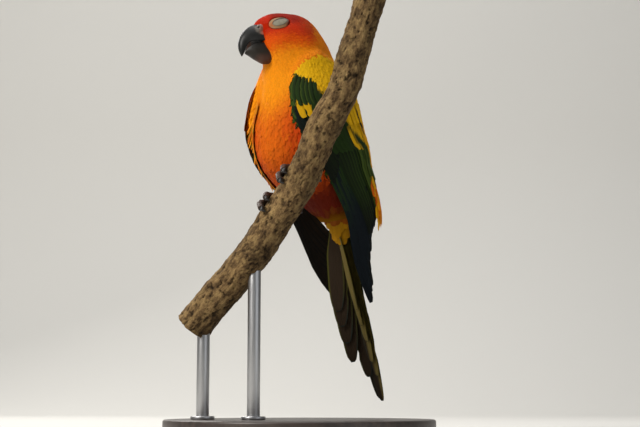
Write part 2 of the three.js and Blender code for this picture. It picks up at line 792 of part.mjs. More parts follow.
function tailVane(side, n, random) {
  const pair = tailPairs[n];
  const lean = turn(side > 0 ? pair.left : pair.right);
  const roll = turn(pair.slope + (random() - 0.5) * 3);
  const half = pair.half * (1 + (random() - 0.5) * 0.1);
  const root = tailTop - n;
  const tip = tailTop - pair.length + (random() - 0.5) * 2;
  const shares = [0, 0.4, 0.8, 1];
  const stations = shares.map((t) => {
    const height = mix(root, tip, t);
    const s = spineAt(height);
    const out = along(vec(0, 0, 0), Math.cos(roll), s.back, side * Math.sin(roll), s.left, 0, s.up);
    const across = along(vec(0, 0, 0), side * Math.cos(roll), s.left, -Math.sin(roll), s.back, 0, s.up);
    const aside = 0.8 + rootSpread * n + (root - height) * Math.tan(lean);
    const under = tailStep * n + (side > 0 && n === 0 ? ridgeStep : 0) + (n > 0 ? ridgeStep : 0);
    const width = half * vaneWidth(t, 0.2);
    return {
      middle: along(s.place, aside, across, -under, out, 1.5, s.back),
      across,
      out,
      before: n > 0 ? Math.min(width, aside + 1) : width,
      after: width,
      thick: t === 1 ? 0.55 : 0.8,
    };
  });
  return vaneSolid(stations);
}

// The coverts over and under the tail's roots: the height of their tips, the depth that they
// lie at, how far to the side they reach, and how many there are.
const tailCovertRows = [
  { top: -66, tip: -96, deep: [7, 3.4], spread: 4, count: 2, facing: 1 },
  { top: -64, tip: -84, deep: [11, 7], spread: 7, count: 2, facing: 1 },
  { top: -66, tip: -98, deep: [-7, -9], spread: 4.5, count: 2, facing: -1 },
  { top: -64, tip: -84, deep: [-10, -10.5], spread: 7.5, count: 2, facing: -1 },
];
const tailCovertHalf = 4.6;
const tailRootHalf = 12; // half the width and the depth of the tail's root
const tailRootDeep = 8;

function tailCovert(row, share, random) {
  const across = mix(-row.spread, row.spread, share);
  const round = Math.min(Math.abs(across) / tailRootHalf, 1);
  const drop = (1 - Math.sqrt(1 - round ** 2)) * tailRootDeep;
  const shares = [0, 0.6, 1];
  const tip = row.tip + (random() - 0.5) * 6;
  const stations = shares.map((t) => {
    const s = spineAt(mix(row.top, tip, t));
    const deep = mix(row.deep[0], row.deep[1], t) - row.facing * drop;
    const middle = along(s.place, across * mix(0.8, 1, t), s.left, deep, s.back, 0, s.up);
    const roll = turn(across * 4);
    const out = along(vec(0, 0, 0), row.facing * Math.cos(roll), s.back, Math.sin(roll), s.left, 0, s.up);
    const half = tailCovertHalf * vaneWidth(t, 0.4);
    return { middle, across: out.clone().cross(s.up), out, before: half, after: half, thick: 0.85 };
  });
  return vaneSolid(stations);
}

const tailRandom = seeded(31);
const tailPieces = [largest(belowHead.intersect(tailCut(-nodeGap / 2)))];
for (const side of [1, -1]) {
  for (let n = 0; n < tailPairs.length; n++) tailPieces.push(tailVane(side, n, tailRandom));
}
for (const row of tailCovertRows) {
  for (let n = 0; n < row.count; n++) tailPieces.push(tailCovert(row, n / (row.count - 1), tailRandom));
}
const tailSolid = joinAll(tailPieces).intersect(tailCut(-nodeGap / 2));
add("tail", largest(tailSolid), colours.olive);

// The perch: a cut length of branch running up from the left, towards the front.
const perchPoints = [
  [-66.5, -7, 67],
  [-52.5, -13, 83.5],
  [-38.5, -20, 99.5],
  [-23.5, -28, 117.5],
  [-15, -33, 130],
  [-7.5, -38, 141],
  [0.5, -44, 152.5],
  [7, -50.5, 165],
  [14.5, -58, 183.5],
  [26.5, -64, 205.5],
  [35.5, -69, 234.5],
  [44.5, -74, 266],
];
const perchLine = new THREE.CatmullRomCurve3(perchPoints.map((p) => vec(...p)), false, "centripetal");
const perchSides = 14;
const perchRings = 26;
const perchThick = (t) => mix(11.8, 9.3, Math.pow(t, 0.8));

// Knots on the branch: how far along, the side they are on, their height and spread.
const knots = [
  [0.27, 200, 1.7, 9],
  [0.36, 30, 1.2, 7],
  [0.64, 250, 1.6, 8],
  [0.82, 120, 1, 7],
];
const perchLength = perchLine.getLength();

function perchForm(grow) {
  const random = seeded(12);
  const rings = [];
  for (let i = 0; i <= perchRings; i++) {
    const t = i / perchRings;
    const { place, ahead, over, across } = perchAxes(t);
    const ring = [];
    for (let j = 0; j < perchSides; j++) {
      const a = (2 * Math.PI * j) / perchSides;
      let r = perchThick(t) + (random() - 0.5) * 0.7 + grow;
      for (const [at, side, high, spread] of knots) {
        const round = Math.abs(((a * 180) / Math.PI - side + 540) % 360 - 180);
        const d = Math.hypot((t - at) * perchLength, turn(round) * perchThick(t));
        r += high * Math.exp(-((d / spread) ** 2) * 1.6);
      }
      ring.push(along(place, r * Math.cos(a), over, r * Math.sin(a), across, 0, ahead));
    }
    rings.push(ring);
  }
  return ringsSolid(rings);
}

// Directions at a place on the branch: on along it, out towards the belly, and across.
function perchAxes(t) {
  const place = perchLine.getPointAt(t);
  const ahead = perchLine.getTangentAt(t);
  const over = vec(0, 1, 0.25);
  over.addScaledVector(ahead, -over.dot(ahead)).normalize();
  return { place, ahead, over, across: ahead.clone().cross(over) };
}

const perch = perchForm(0);
const widePerch = perchForm(nodeGap);
add("perch_branch", perch, colours.bark, 0.9);

// Feet: two toes forward over the branch, two back. Each toe is its angle round the branch
// where it starts and ends, its step along the branch there, and its thickness.
const toes = [
  [[12, 2], [118, 4.5], 1.75],
  [[12, -2], [132, -3.5], 1.8],
  [[-12, 2], [-84, 5], 1.7],
  [[-10, -2], [-62, -4], 1.6],
];
const toeSides = 6;
const clawTurn = 24;
const tarsusLength = 7; // the bare part of the leg, where it isn't sunk in the belly's feathers
const feet = [
  { name: "left", side: 1, at: 0.475, thighAngle: -72, thighHeight: -22 },
  { name: "right", side: -1, at: 0.385, thighAngle: -66, thighHeight: -26 },
];

function perchSurface(t, angle, step, off) {
  const s = t + step / perchLength;
  const { place, over, across } = perchAxes(s);
  const a = turn(angle);
  const r = perchThick(s) + off;
  return along(place, r * Math.cos(a), over, r * Math.sin(a), across, 0, over);
}

// The foot's middle, and the line of the leg from it to a place inside the belly.
function legLine(foot) {
  const heel = perchSurface(foot.at, 0, 0, 2.4);
  const s = spineAt(foot.thighHeight);
  const a = turn(foot.thighAngle);
  const hip = along(s.place, foot.side * 20 * Math.cos(a), s.left, 20 * Math.sin(a), s.back, 0, s.up);
  const way = hip.clone().sub(heel).normalize();
  const long = hip.distanceTo(heel);
  const buried = reachFrom(hip, way.clone().negate(), outsideBody, long);
  return { heel, hip, way, long, bare: Math.min(tarsusLength, (long - buried) * 0.4) };
}

function footForm(foot) {
  const { heel, way, bare } = legLine(foot);
  const { ahead, over, across } = perchAxes(foot.at);
  const pieces = toes.map(([[a0, s0], [a1, s1], thick]) => {
    const points = [];
    const radii = [];
    const steps = 6;
    for (let i = 0; i <= steps; i++) {
      const t = i / steps;
      points.push(perchSurface(foot.at, mix(a0, a1, t), mix(s0, s1, t ** 0.8), thick * 0.95));
      radii.push(thick * (1 - 0.28 * t) * (1 + 0.09 * Math.cos(t * Math.PI * 6)));
    }
    const onward = Math.sign(a1 - a0);
    for (let i = 1; i <= 3; i++) {
      const t = i / 3;
      const off = thick * (0.85 + 0.5 * Math.sin(Math.PI * t) - 0.55 * t);
      points.push(perchSurface(foot.at, a1 + onward * clawTurn * t, s1, off));
      radii.push(thick * 0.62 * (1 - t) + 0.22);
    }
    return taperedTube(points, radii, toeSides);
  });
  pieces.push(ellipsoid(heel, [ahead, over, across], [4.2, 2.2, 3.6], 10, 6));
  const shank = [0, 0.4, 0.8, 1.2].map((t) => heel.clone().addScaledVector(way, t * (bare + 1)));
  pieces.push(taperedTube(shank, [2.5, 2.1, 2.2, 2.6], 8));
  return joinAll(pieces);
}

function thighForm(foot, grow) {
  const { heel, way, long, bare } = legLine(foot);
  const start = bare - grow;
  const steps = [0, 0.1, 0.3, 0.55, 0.8, 1];
  const radii = [2.9, 4.4, 6.4, 8, 9, 9];
  const points = steps.map((t) => heel.clone().addScaledVector(way, mix(start, long, t)));
  return taperedTube(points, radii.map((r) => r + grow), 14);
}

for (const foot of feet) {
  const thigh = thighForm(foot, 0).subtract(wideTrunk).subtract(widePerch);
  const solid = footForm(foot).subtract(widePerch).subtract(thighForm(foot, nodeGap)).subtract(wideTrunk);
  add(`thigh_${foot.name}`, largest(thigh), colours.orange);
  add(`foot_${foot.name}`, largest(solid), colours.toe, 0.6);
}

// The stand: a round base and two rods up to the lower part of the branch.
const baseRadius = 85;
const baseSides = 40;
const baseHeight = 10;
const baseEdge = 1.5;
const rodRadius = 4;
const rods = [
  { name: "stand_rod_lower", at: 0.045 },
  { name: "stand_rod_upper", at: 0.26 },
];
const baseProfile = [
  [0, 0],
  [baseRadius - 0.6, 0],
  [baseRadius, 0.6],
  [baseRadius, baseHeight - baseEdge],
  [baseRadius - baseEdge * 0.3, baseHeight - baseEdge * 0.3],
  [baseRadius - baseEdge, baseHeight],
  [0, baseHeight],
].map(([r, z]) => new THREE.Vector2(r, z));
const base = new THREE.LatheGeometry(baseProfile, baseSides);
base.rotateX(Math.PI / 2);
add("stand_base", solidFrom(base), colours.base, 0.5);
for (const { name, at } of rods) {
  const top = perchLine.getPointAt(at);
  const rod = new THREE.CylinderGeometry(rodRadius, rodRadius, top.z - baseHeight - nodeGap, 20);
  rod.rotateX(Math.PI / 2);
  rod.translate(top.x, top.y, (top.z + baseHeight + nodeGap) / 2);
  add(name, largest(solidFrom(rod).subtract(widePerch)), colours.steel, 0.3, 1);
}

export default bird;
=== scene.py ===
import math

import bpy
import numpy as np
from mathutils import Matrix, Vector, noise
from mathutils.bvhtree import BVHTree
from mathutils.kdtree import KDTree


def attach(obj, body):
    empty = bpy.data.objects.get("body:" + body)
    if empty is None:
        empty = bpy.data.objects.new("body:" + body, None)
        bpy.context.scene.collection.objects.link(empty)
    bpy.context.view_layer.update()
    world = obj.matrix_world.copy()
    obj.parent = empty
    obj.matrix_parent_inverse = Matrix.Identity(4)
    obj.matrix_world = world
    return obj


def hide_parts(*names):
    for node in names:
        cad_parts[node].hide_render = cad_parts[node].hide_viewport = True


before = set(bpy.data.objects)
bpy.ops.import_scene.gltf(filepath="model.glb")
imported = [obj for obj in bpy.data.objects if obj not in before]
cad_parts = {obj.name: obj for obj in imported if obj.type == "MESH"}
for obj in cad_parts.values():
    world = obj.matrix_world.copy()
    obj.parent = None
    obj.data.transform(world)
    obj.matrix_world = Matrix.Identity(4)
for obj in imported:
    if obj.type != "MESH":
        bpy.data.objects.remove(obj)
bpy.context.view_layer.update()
scene = bpy.context.scene
mm = 0.001

def ease(x, a, b):
    t = np.clip((np.asarray(x, float) - a) / (b - a), 0, 1)
    return t * t * (3 - 2 * t)


def mix(a, b, t):
    return a + (b - a) * t


def unit(v):
    return v / np.maximum(np.linalg.norm(v, axis=-1, keepdims=True), 1e-9)


def dot(a, b):
    return (a * b).sum(-1)


def linear(hexText):  # an sRGB hex value as Blender's linear colour
    c = np.array([int(hexText[i:i + 2], 16) / 255 for i in (0, 2, 4)])
    return np.where(c <= 0.04045, c / 12.92, ((c + 0.055) / 1.055) ** 2.4)


def rgba(hexText):
    return (*linear(hexText), 1)


def tints(hexTexts):
    return {key: linear(value) for key, value in hexTexts.items()}


def nothingSelected():
    bpy.ops.object.select_all(action="DESELECT")


def only(obj):
    nothingSelected()
    obj.select_set(True)
    bpy.context.view_layer.objects.active = obj


def joined(parts, name):
    nothingSelected()
    for part in parts:
        part.select_set(True)
    bpy.context.view_layer.objects.active = parts[0]
    if len(parts) > 1:
        bpy.ops.object.join()
    parts[0].name = parts[0].data.name = name
    return parts[0]


def applyAll(obj):
    only(obj)
    for modifier in list(obj.modifiers):
        bpy.ops.object.modifier_apply(modifier=modifier.name)


def placeInMesh(obj):  # the object goes to the origin, its place into its mesh
    only(obj)
    bpy.ops.object.transform_apply(location=True, rotation=True, scale=True)


def points(mesh):
    co = np.empty(len(mesh.vertices) * 3)
    mesh.vertices.foreach_get("co", co)
    return co.reshape(-1, 3)


def setPoints(mesh, co):
    mesh.vertices.foreach_set("co", np.ascontiguousarray(co, float).ravel())
    mesh.update()


def normals(mesh):
    n = np.empty(len(mesh.vertices) * 3)
    mesh.vertices.foreach_get("normal", n)
    return n.reshape(-1, 3)


def arrayMesh(name, co, quads):  # millimetres in, one mesh object out
    mesh = bpy.data.meshes.new(name)
    mesh.vertices.add(len(co))
    mesh.vertices.foreach_set("co", (np.asarray(co) * mm).ravel())
    mesh.loops.add(quads.size)
    mesh.loops.foreach_set("vertex_index", quads.ravel().astype(np.int32))
    mesh.polygons.add(len(quads))
    mesh.polygons.foreach_set("loop_start", np.arange(0, quads.size, quads.shape[1], dtype=np.int32))
    mesh.update(calc_edges=True)
    mesh.shade_smooth()
    obj = bpy.data.objects.new(name, mesh)
    scene.collection.objects.link(obj)
    return obj


def ringMesh(name, rings):  # a skin through rings of places, open at both ends
    count, around = rings.shape[:2]
    ring, corner = np.divmod(np.arange((count - 1) * around), around)
    here, there = ring * around + corner, ring * around + (corner + 1) % around
    return arrayMesh(name, rings.reshape(-1, 3), np.stack([here, there, there + around, here + around], -1))


def closeUp(obj, merge=0):  # corners within merge become one, open ends are filled, faces turned out
    only(obj)
    bpy.ops.object.mode_set(mode="EDIT")
    bpy.ops.mesh.select_all(action="SELECT")
    if merge:
        bpy.ops.mesh.remove_doubles(threshold=merge * mm)
        bpy.ops.mesh.select_all(action="SELECT")
    bpy.ops.mesh.fill_holes(sides=0)
    bpy.ops.mesh.normals_make_consistent(inside=False)
    bpy.ops.object.mode_set(mode="OBJECT")


def paint(obj, colours):  # one linear colour a vertex, read by the materials: the own colours, and in places painted light and shade
    layer = obj.data.color_attributes.new("markingsAndShade", "FLOAT_COLOR", "POINT")
    rgb1 = np.ones((len(colours), 4), np.float32)
    rgb1[:, :3] = colours
    layer.data.foreach_set("color", rgb1.ravel())


def over(base, colour, weight):
    return base + (colour - base) * np.asarray(weight)[..., None]


def layers(colours, base, shape, *coats):  # the base colour, and each coat in turn over what is there
    c = np.broadcast_to(colours[base], (*shape, 3))
    for key, weight in coats:
        c = over(c, colours[key], weight)
    return c

def setInputs(node, inputs):  # each with a value, or a link from another node
    for key, value in inputs.items():
        if isinstance(value, bpy.types.Node):
            value = value.outputs[0]
        if isinstance(value, bpy.types.NodeSocket):
            node.id_data.links.new(value, node.inputs[key])
        else:
            node.inputs[key].default_value = value


def addNode(material, kind, settings=None, inputs=None, stops=()):
    node = material.node_tree.nodes.new("ShaderNode" + kind)
    for key, value in (settings or {}).items():
        setattr(node, key, value)
    for i, (place, colour) in enumerate(stops):  # of a colour ramp
        ramp = node.color_ramp.elements
        element = ramp[i] if i < len(ramp) else ramp.new(place)
        element.position, element.color = place, rgba(colour)
    setInputs(node, inputs or {})
    return node


def newMaterial(name):  # and its surface
    material = bpy.data.materials.new(name)
    material.use_nodes = True
    return material, material.node_tree.nodes["Principled BSDF"]


def fieldNoise(p, size, octaves=3):  # -1 to 1 about, size in millimetres
    return np.array([noise.fractal(Vector(q) / size, 1.0, 2.0, octaves) for q in p])


# the bird's own directions: a spine that bends into the tail, and the head's axes

bird = {
    "bodyMiddle": (8.3, 0, 194.6),
    "bodyYaw": -45,
    "bodyLean": 25.5,
    "tailLean": 17.8,
    "bend": (-66, -42),  # heights between which the spine turns
    "headMiddle": (-8.8, -21, 249),
    "headYaw": -78,
    "headPitch": -3,
    "headRoll": 13,
    "eye": (6.6, 4.6),  # forward and up of the head's middle
    "sections": [  # height, shift to the back, half across, half through
        (58, 6, 11, 12), (50, 5, 18.5, 19.5), (38, 2, 24.5, 26), (24, -2, 29.5, 32),
        (10, -5.5, 32.5, 36), (-9, -8, 32.5, 36.5), (-28, -5, 29, 32), (-46, 0, 22, 23),
        (-62, 2, 15, 15), (-76, 0, 9.5, 8.5), (-88, -2, 5, 4),
    ],
    "headForms": [  # middle, half sizes
        ((-2.5, 0, 0.5), (19, 15.6, 16)),
        ((7, 0, 5), (11, 12, 12.3)),
        ((3, 0, -6.5), (12, 14, 9.5)),
        ((-10, 0, -9), (14, 15, 15)),
        ((12.6, 0, 7.8), (8.9, 6.5, 7.4)),
    ],
}
spineTop = 80
bodyMiddle = np.array(bird["bodyMiddle"], float)
yaw = math.radians(bird["bodyYaw"])
leftWay = np.array([math.cos(yaw), math.sin(yaw), 0])


def upWay(lean):
    l = np.radians(lean)
    return np.stack([math.sin(yaw) * np.sin(l), -math.cos(yaw) * np.sin(l), np.cos(l)], -1)


spineSteps = np.arange(291)  # one a millimetre, down from the top
spineUps = upWay(mix(bird["tailLean"], bird["bodyLean"], ease(spineTop - spineSteps, *bird["bend"])))
bodyUp = upWay(bird["bodyLean"])
spinePlaces = bodyMiddle + bodyUp * spineTop - np.vstack([np.zeros(3), np.cumsum(spineUps[:-1], 0)])
spineRows = np.hstack([spinePlaces, spineUps, np.cross(spineUps, leftWay)])


def spineAt(height):
    t = np.clip(spineTop - np.asarray(height, float), 0, spineSteps[-1])
    rows = np.stack([np.interp(t, spineSteps, column) for column in spineRows.T], -1)
    return rows[..., :3], unit(rows[..., 3:6]), unit(rows[..., 6:])


def hermite(a, b, slopeA, slopeB, t):
    return ((2 * t**3 - 3 * t**2 + 1) * a + (t**3 - 2 * t**2 + t) * slopeA
            + (3 * t**2 - 2 * t**3) * b + (t**3 - t**2) * slopeB)


def readTable(table, x):  # smooth reading of a table whose first column falls
    rows = np.asarray(table, float)
    h, v = rows[:, 0], rows[:, 1:]
    x = np.clip(np.asarray(x, float), h[-1], h[0])
    i = np.clip(np.searchsorted(-h, -x, side="right") - 1, 0, len(h) - 2)
    p, q = np.maximum(i - 1, 0), np.minimum(i + 2, len(h) - 1)
    wide = (h[i] - h[i + 1])[..., None]
    slopeA = (v[i + 1] - v[p]) / (h[p] - h[i + 1])[..., None] * wide
    slopeB = (v[q] - v[i]) / (h[i] - h[q])[..., None] * wide
    return hermite(v[i], v[i + 1], slopeA, slopeB, (h[i] - x)[..., None] / wide)


y0, p0, r0 = (math.radians(bird[k]) for k in ("headYaw", "headPitch", "headRoll"))
aheadWay = np.array([math.sin(y0) * math.cos(p0), -math.cos(y0) * math.cos(p0), math.sin(p0)])
levelWay = np.array([math.cos(y0), math.sin(y0), 0])
crownWay = np.cross(aheadWay, levelWay)
headLeft = levelWay * math.cos(r0) + crownWay * math.sin(r0)
headCrown = crownWay * math.cos(r0) - levelWay * math.sin(r0)
headAxes = np.stack([aheadWay, headLeft, headCrown])
headMiddle = np.array(bird["headMiddle"], float)


def headPoint(f, l, u):
    return headMiddle + np.stack(np.broadcast_arrays(f, l, u), -1) @ headAxes


def headSteps(p):
    return (p - headMiddle) @ headAxes.T


def bodyPlace(p):
    height = (p - bodyMiddle) @ bodyUp
    for _ in range(3):
        place, up, back = spineAt(height)
        height = height + dot(p - place, up)
    place, up, back = spineAt(height)
    return height, (p - place) @ leftWay, dot(p - place, back)


def blend(a, b, wide):  # the nearer of two forms, rounded where they meet
    h = np.maximum(wide - np.abs(a - b), 0) / wide
    return np.minimum(a, b) - h * h * wide / 4


def outsideBall(steps, form):
    d = steps - np.array(form[0])
    size = np.array(form[1])
    near = np.linalg.norm(d / size, axis=-1)
    steep = np.linalg.norm(d / size**2, axis=-1)
    return near * (near - 1) / np.maximum(steep, 1e-9)


def outsideBody(p):
    height, side, depth = bodyPlace(p)
    row = readTable(bird["sections"], height)
    top, bottom = bird["sections"][0][0], bird["sections"][-1][0]
    past = np.maximum(np.maximum(height - top, bottom - height), 0)
    k = np.hypot(side / row[..., 1], (depth - row[..., 0]) / row[..., 2])
    trunk = (k - 1) * np.minimum(row[..., 1], row[..., 2]) + past
    steps = headSteps(p)
    skull, brow, cheeks, nape, forehead = (outsideBall(steps, form) for form in bird["headForms"])
    above = blend(skull, blend(brow, forehead, 3), 4)
    return blend(trunk, blend(above, blend(cheeks, nape, 6), 6), 14)


def aroundSpine(p):  # height, degrees from the side towards the back, and side
    height, side, depth = bodyPlace(p)
    shift = readTable(bird["sections"], height)[..., 0]
    return height, np.degrees(np.arctan2(depth - shift, np.abs(side))), side


def reach(start, way, outside, longest):
    low, high = np.zeros(len(start)), np.full(len(start), 4.0)
    while True:
        inside = (outside(start + way * high[:, None]) < 0) & (high < longest)
        if not inside.any():
            break
        low = np.where(inside, high, low)
        high = np.where(inside, high + 2, high)
    for _ in range(15):
        half = (low + high) / 2
        inside = outside(start + way * half[:, None]) < 0
        low, high = np.where(inside, half, low), np.where(inside, high, half)
    return (low + high) / 2


# what the folded wings lie on, and places over it

wing = {
    "flank": -14,  # below this height the bed tapers straight to the wing tips
    "flankSize": (31, 34),
    "tipSize": (14.5, 7),
    "tip": -117,
    "rightOut": 7.5, "outFrom": -30,  # the right wing stands off below this height, this far at its tip,
    "rightHang": 5, "hangAt": -56, "hangReach": 22,  # sags outward about this height,
    "rightBack": 20, "backFrom": -65,  # and below this height turns to the back by these degrees
    "rise": 0.75,
    "rows": [  # height, the leading and the inner edge as angles, thickness
        (48, -34, -10, 0.9), (42, -50, 8, 3), (32, -57, 30, 4.8), (18, -55, 40, 4.8),
        (0, -48, 42, 4.3), (-20, -41, 36, 3.7), (-40, -42, 22, 3.2), (-60, -42, 6, 2.8),
        (-78, -39, -4, 2.4), (-96, -32, -5, 1.9), (-110, -23, -8, 1.5), (-117, -17, -12, 1.1),
    ],
}


def bedSize(height):
    t = np.clip((wing["flank"] - height) / (wing["flank"] - wing["tip"]), 0, None)
    return (mix(a, b, t) for a, b in zip(wing["flankSize"], wing["tipSize"]))


def outsideWingBed(p):
    height, side, depth = bodyPlace(p)
    across, through = bedSize(height)
    shift = readTable(bird["sections"], height)[..., 0]
    k = np.hypot(side / across, (depth - shift) / through)
    taper = (k - 1) * np.minimum(across, through)
    body = outsideBody(p)
    return np.where(height > wing["flank"], body, np.minimum(taper, body))


def wingPlace(side, height, angle, off):
    height, angle, off = (np.array(a, float) for a in np.broadcast_arrays(height, angle, off))
    shape = height.shape
    height, angle, off = height.ravel(), angle.ravel(), off.ravel()
    if side < 0:
        off = off + wing["rightOut"] * ease(-height, -wing["outFrom"], -wing["tip"])
        off = off + wing["rightHang"] * np.exp(-(((height - wing["hangAt"]) / wing["hangReach"]) ** 2))
        angle = angle + wing["rightBack"] * ease(-height, -wing["backFrom"], -wing["tip"] - 10)
    place, up, back = spineAt(height)
    start = place + back * readTable(bird["sections"], height)[:, :1]
    a = np.radians(angle)[:, None]
    way = leftWay * side * np.cos(a) + back * np.sin(a)
    return (start + way * (reach(start, way, outsideWingBed, 70) + off)[:, None]).reshape(*shape, 3)


def bedNormal(p):
    here = outsideWingBed(p)
    return unit(np.stack([outsideWingBed(p + 0.4 * way) - here for way in np.eye(3)], -1))


def wingAngle(height, inward):  # millimetres in from the leading edge, as an angle
    rows = readTable(bird["sections"], height)
    across, through = bedSize(height)
    radius = np.where(height > wing["flank"], (rows[..., 1] + rows[..., 2]) / 2, (across + through) / 2)
    return readTable(wing["rows"], height)[..., 0] + np.degrees(inward / radius)


print("directions ready")


# one skin under all the feathers: head, neck, torso, thighs and the two arms of the wings

skinSizes = {
    "overlap": 0.3,  # the parted pieces grow by this, so that the cuts between them close
    "voxel": 0.9,
    "smoothing": 6,
    "shoulderSmoothing": 45,
    "faceDepth": 0.45,  # how deep the skin lies under the coat's outer faces
    "bodyDepth": 1.3,
    "armSunk": 1.9,
    "armBottom": -30,
}


def armShell(side):  # the arm of the folded wing, over its bed
    heights = np.linspace(wing["rows"][0][0], skinSizes["armBottom"], 26)
    rows = readTable(wing["rows"], heights)
    v = np.linspace(0, 1, 25)
    angle = mix(rows[:, :1], rows[:, 1:2], v)
    edge = (1 - np.abs(2 * v - 1) ** 3) ** 0.7
    high = np.maximum((rows[:, 2:] - skinSizes["armSunk"]) * edge, 0.5)
    outer = wingPlace(side, heights[:, None], angle, wing["rise"] + high)
    inner = wingPlace(side, heights[:, None], angle, -1.5)
    arm = ringMesh("arm", np.concatenate([outer, inner[:, ::-1]], 1))
    closeUp(arm)
    return arm


def fleshCopy(node):
    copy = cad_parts[node].copy()
    copy.data = copy.data.copy()
    scene.collection.objects.link(copy)
    copy.parent = None
    only(copy)
    bpy.ops.object.mode_set(mode="EDIT")
    bpy.ops.mesh.select_all(action="SELECT")
    bpy.ops.mesh.remove_doubles(threshold=0.00001)
    bpy.ops.object.mode_set(mode="OBJECT")
    return copy


def remeshed(parts, name, grow, voxel, smoothing):
    for part in parts:
        if grow:
            swell = part.modifiers.new("swell", "DISPLACE")
            swell.mid_level = 0
            swell.strength = grow * mm
        applyAll(part)
    whole = joined(parts, name)
    whole.data.materials.clear()
    remesh = whole.modifiers.new("remesh", "REMESH")
    remesh.mode = "VOXEL"
    remesh.voxel_size = voxel * mm
    remesh.use_smooth_shade = True
    smooth = whole.modifiers.new("smooth", "SMOOTH")
    smooth.iterations = smoothing
    applyAll(whole)
    return whole


fleshNodes = ["head", "neck", "torso", "thigh_left", "thigh_right"]
skin = remeshed(
    [fleshCopy(node) for node in fleshNodes] + [armShell(1), armShell(-1)],
    "skin", skinSizes["overlap"], skinSizes["voxel"], skinSizes["smoothing"],
)


def skinDepth(p):  # thin on the face, deeper down the neck and on the body
    steps = headSteps(p)
    fromFace = np.linalg.norm(steps - np.array([12, 0, 0]), axis=-1)
    return mix(skinSizes["faceDepth"], skinSizes["bodyDepth"], ease(fromFace, 12, 40))


co = points(skin.data) / mm
depth = skinDepth(co) + skinSizes["overlap"]
onArm = ease(outsideBody(co), 0.2, 1.6)  # the arms have their depth already
setPoints(skin.data, (co - normals(skin.data) * (depth * (1 - onArm))[:, None]) * mm)
shoulders = skin.vertex_groups.new(name="shoulders")
soft = ease(aroundSpine(co)[0], 26, 40) * ease(np.linalg.norm(co - headMiddle, axis=1), 20, 26)
for i in np.flatnonzero(soft > 0):
    shoulders.add([int(i)], soft[i], "REPLACE")
softer = skin.modifiers.new("shoulders", "SMOOTH")
softer.vertex_group = "shoulders"
softer.iterations = skinSizes["shoulderSmoothing"]
applyAll(skin)
skin.vertex_groups.clear()
only(skin)
bpy.ops.object.mode_set(mode="EDIT")
bpy.ops.mesh.select_all(action="SELECT")
bpy.ops.uv.smart_project(angle_limit=math.radians(66), island_margin=0.004)
bpy.ops.object.mode_set(mode="OBJECT")
skin.data.uv_layers[0].name = "OFBake"
print("skin", len(skin.data.polygons), "faces")


# feathers are thin closed sheets: columns across the vane, stations from root to tip


def runOf(line):  # how far along its line each place is
    step = np.linalg.norm(np.diff(line, axis=-2), axis=-1)
    return np.concatenate([np.zeros((*step.shape[:-1], 1)), np.cumsum(step, -1)], -1)


def sheetFaces(stations, columns):
    top = np.arange(stations * columns).reshape(stations, columns)
    under = top.copy()
    under[1:-1, 1:-1] = top.size + np.arange((stations - 2) * (columns - 2)).reshape(stations - 2, -1)
    faces = []
    for grid, turned in ((top, False), (under, True)):
        a, b, c, d = grid[:-1, :-1], grid[:-1, 1:], grid[1:, 1:], grid[1:, :-1]
        faces.append(np.stack([a, d, c, b] if turned else [a, b, c, d], -1).reshape(-1, 4))
    return faces


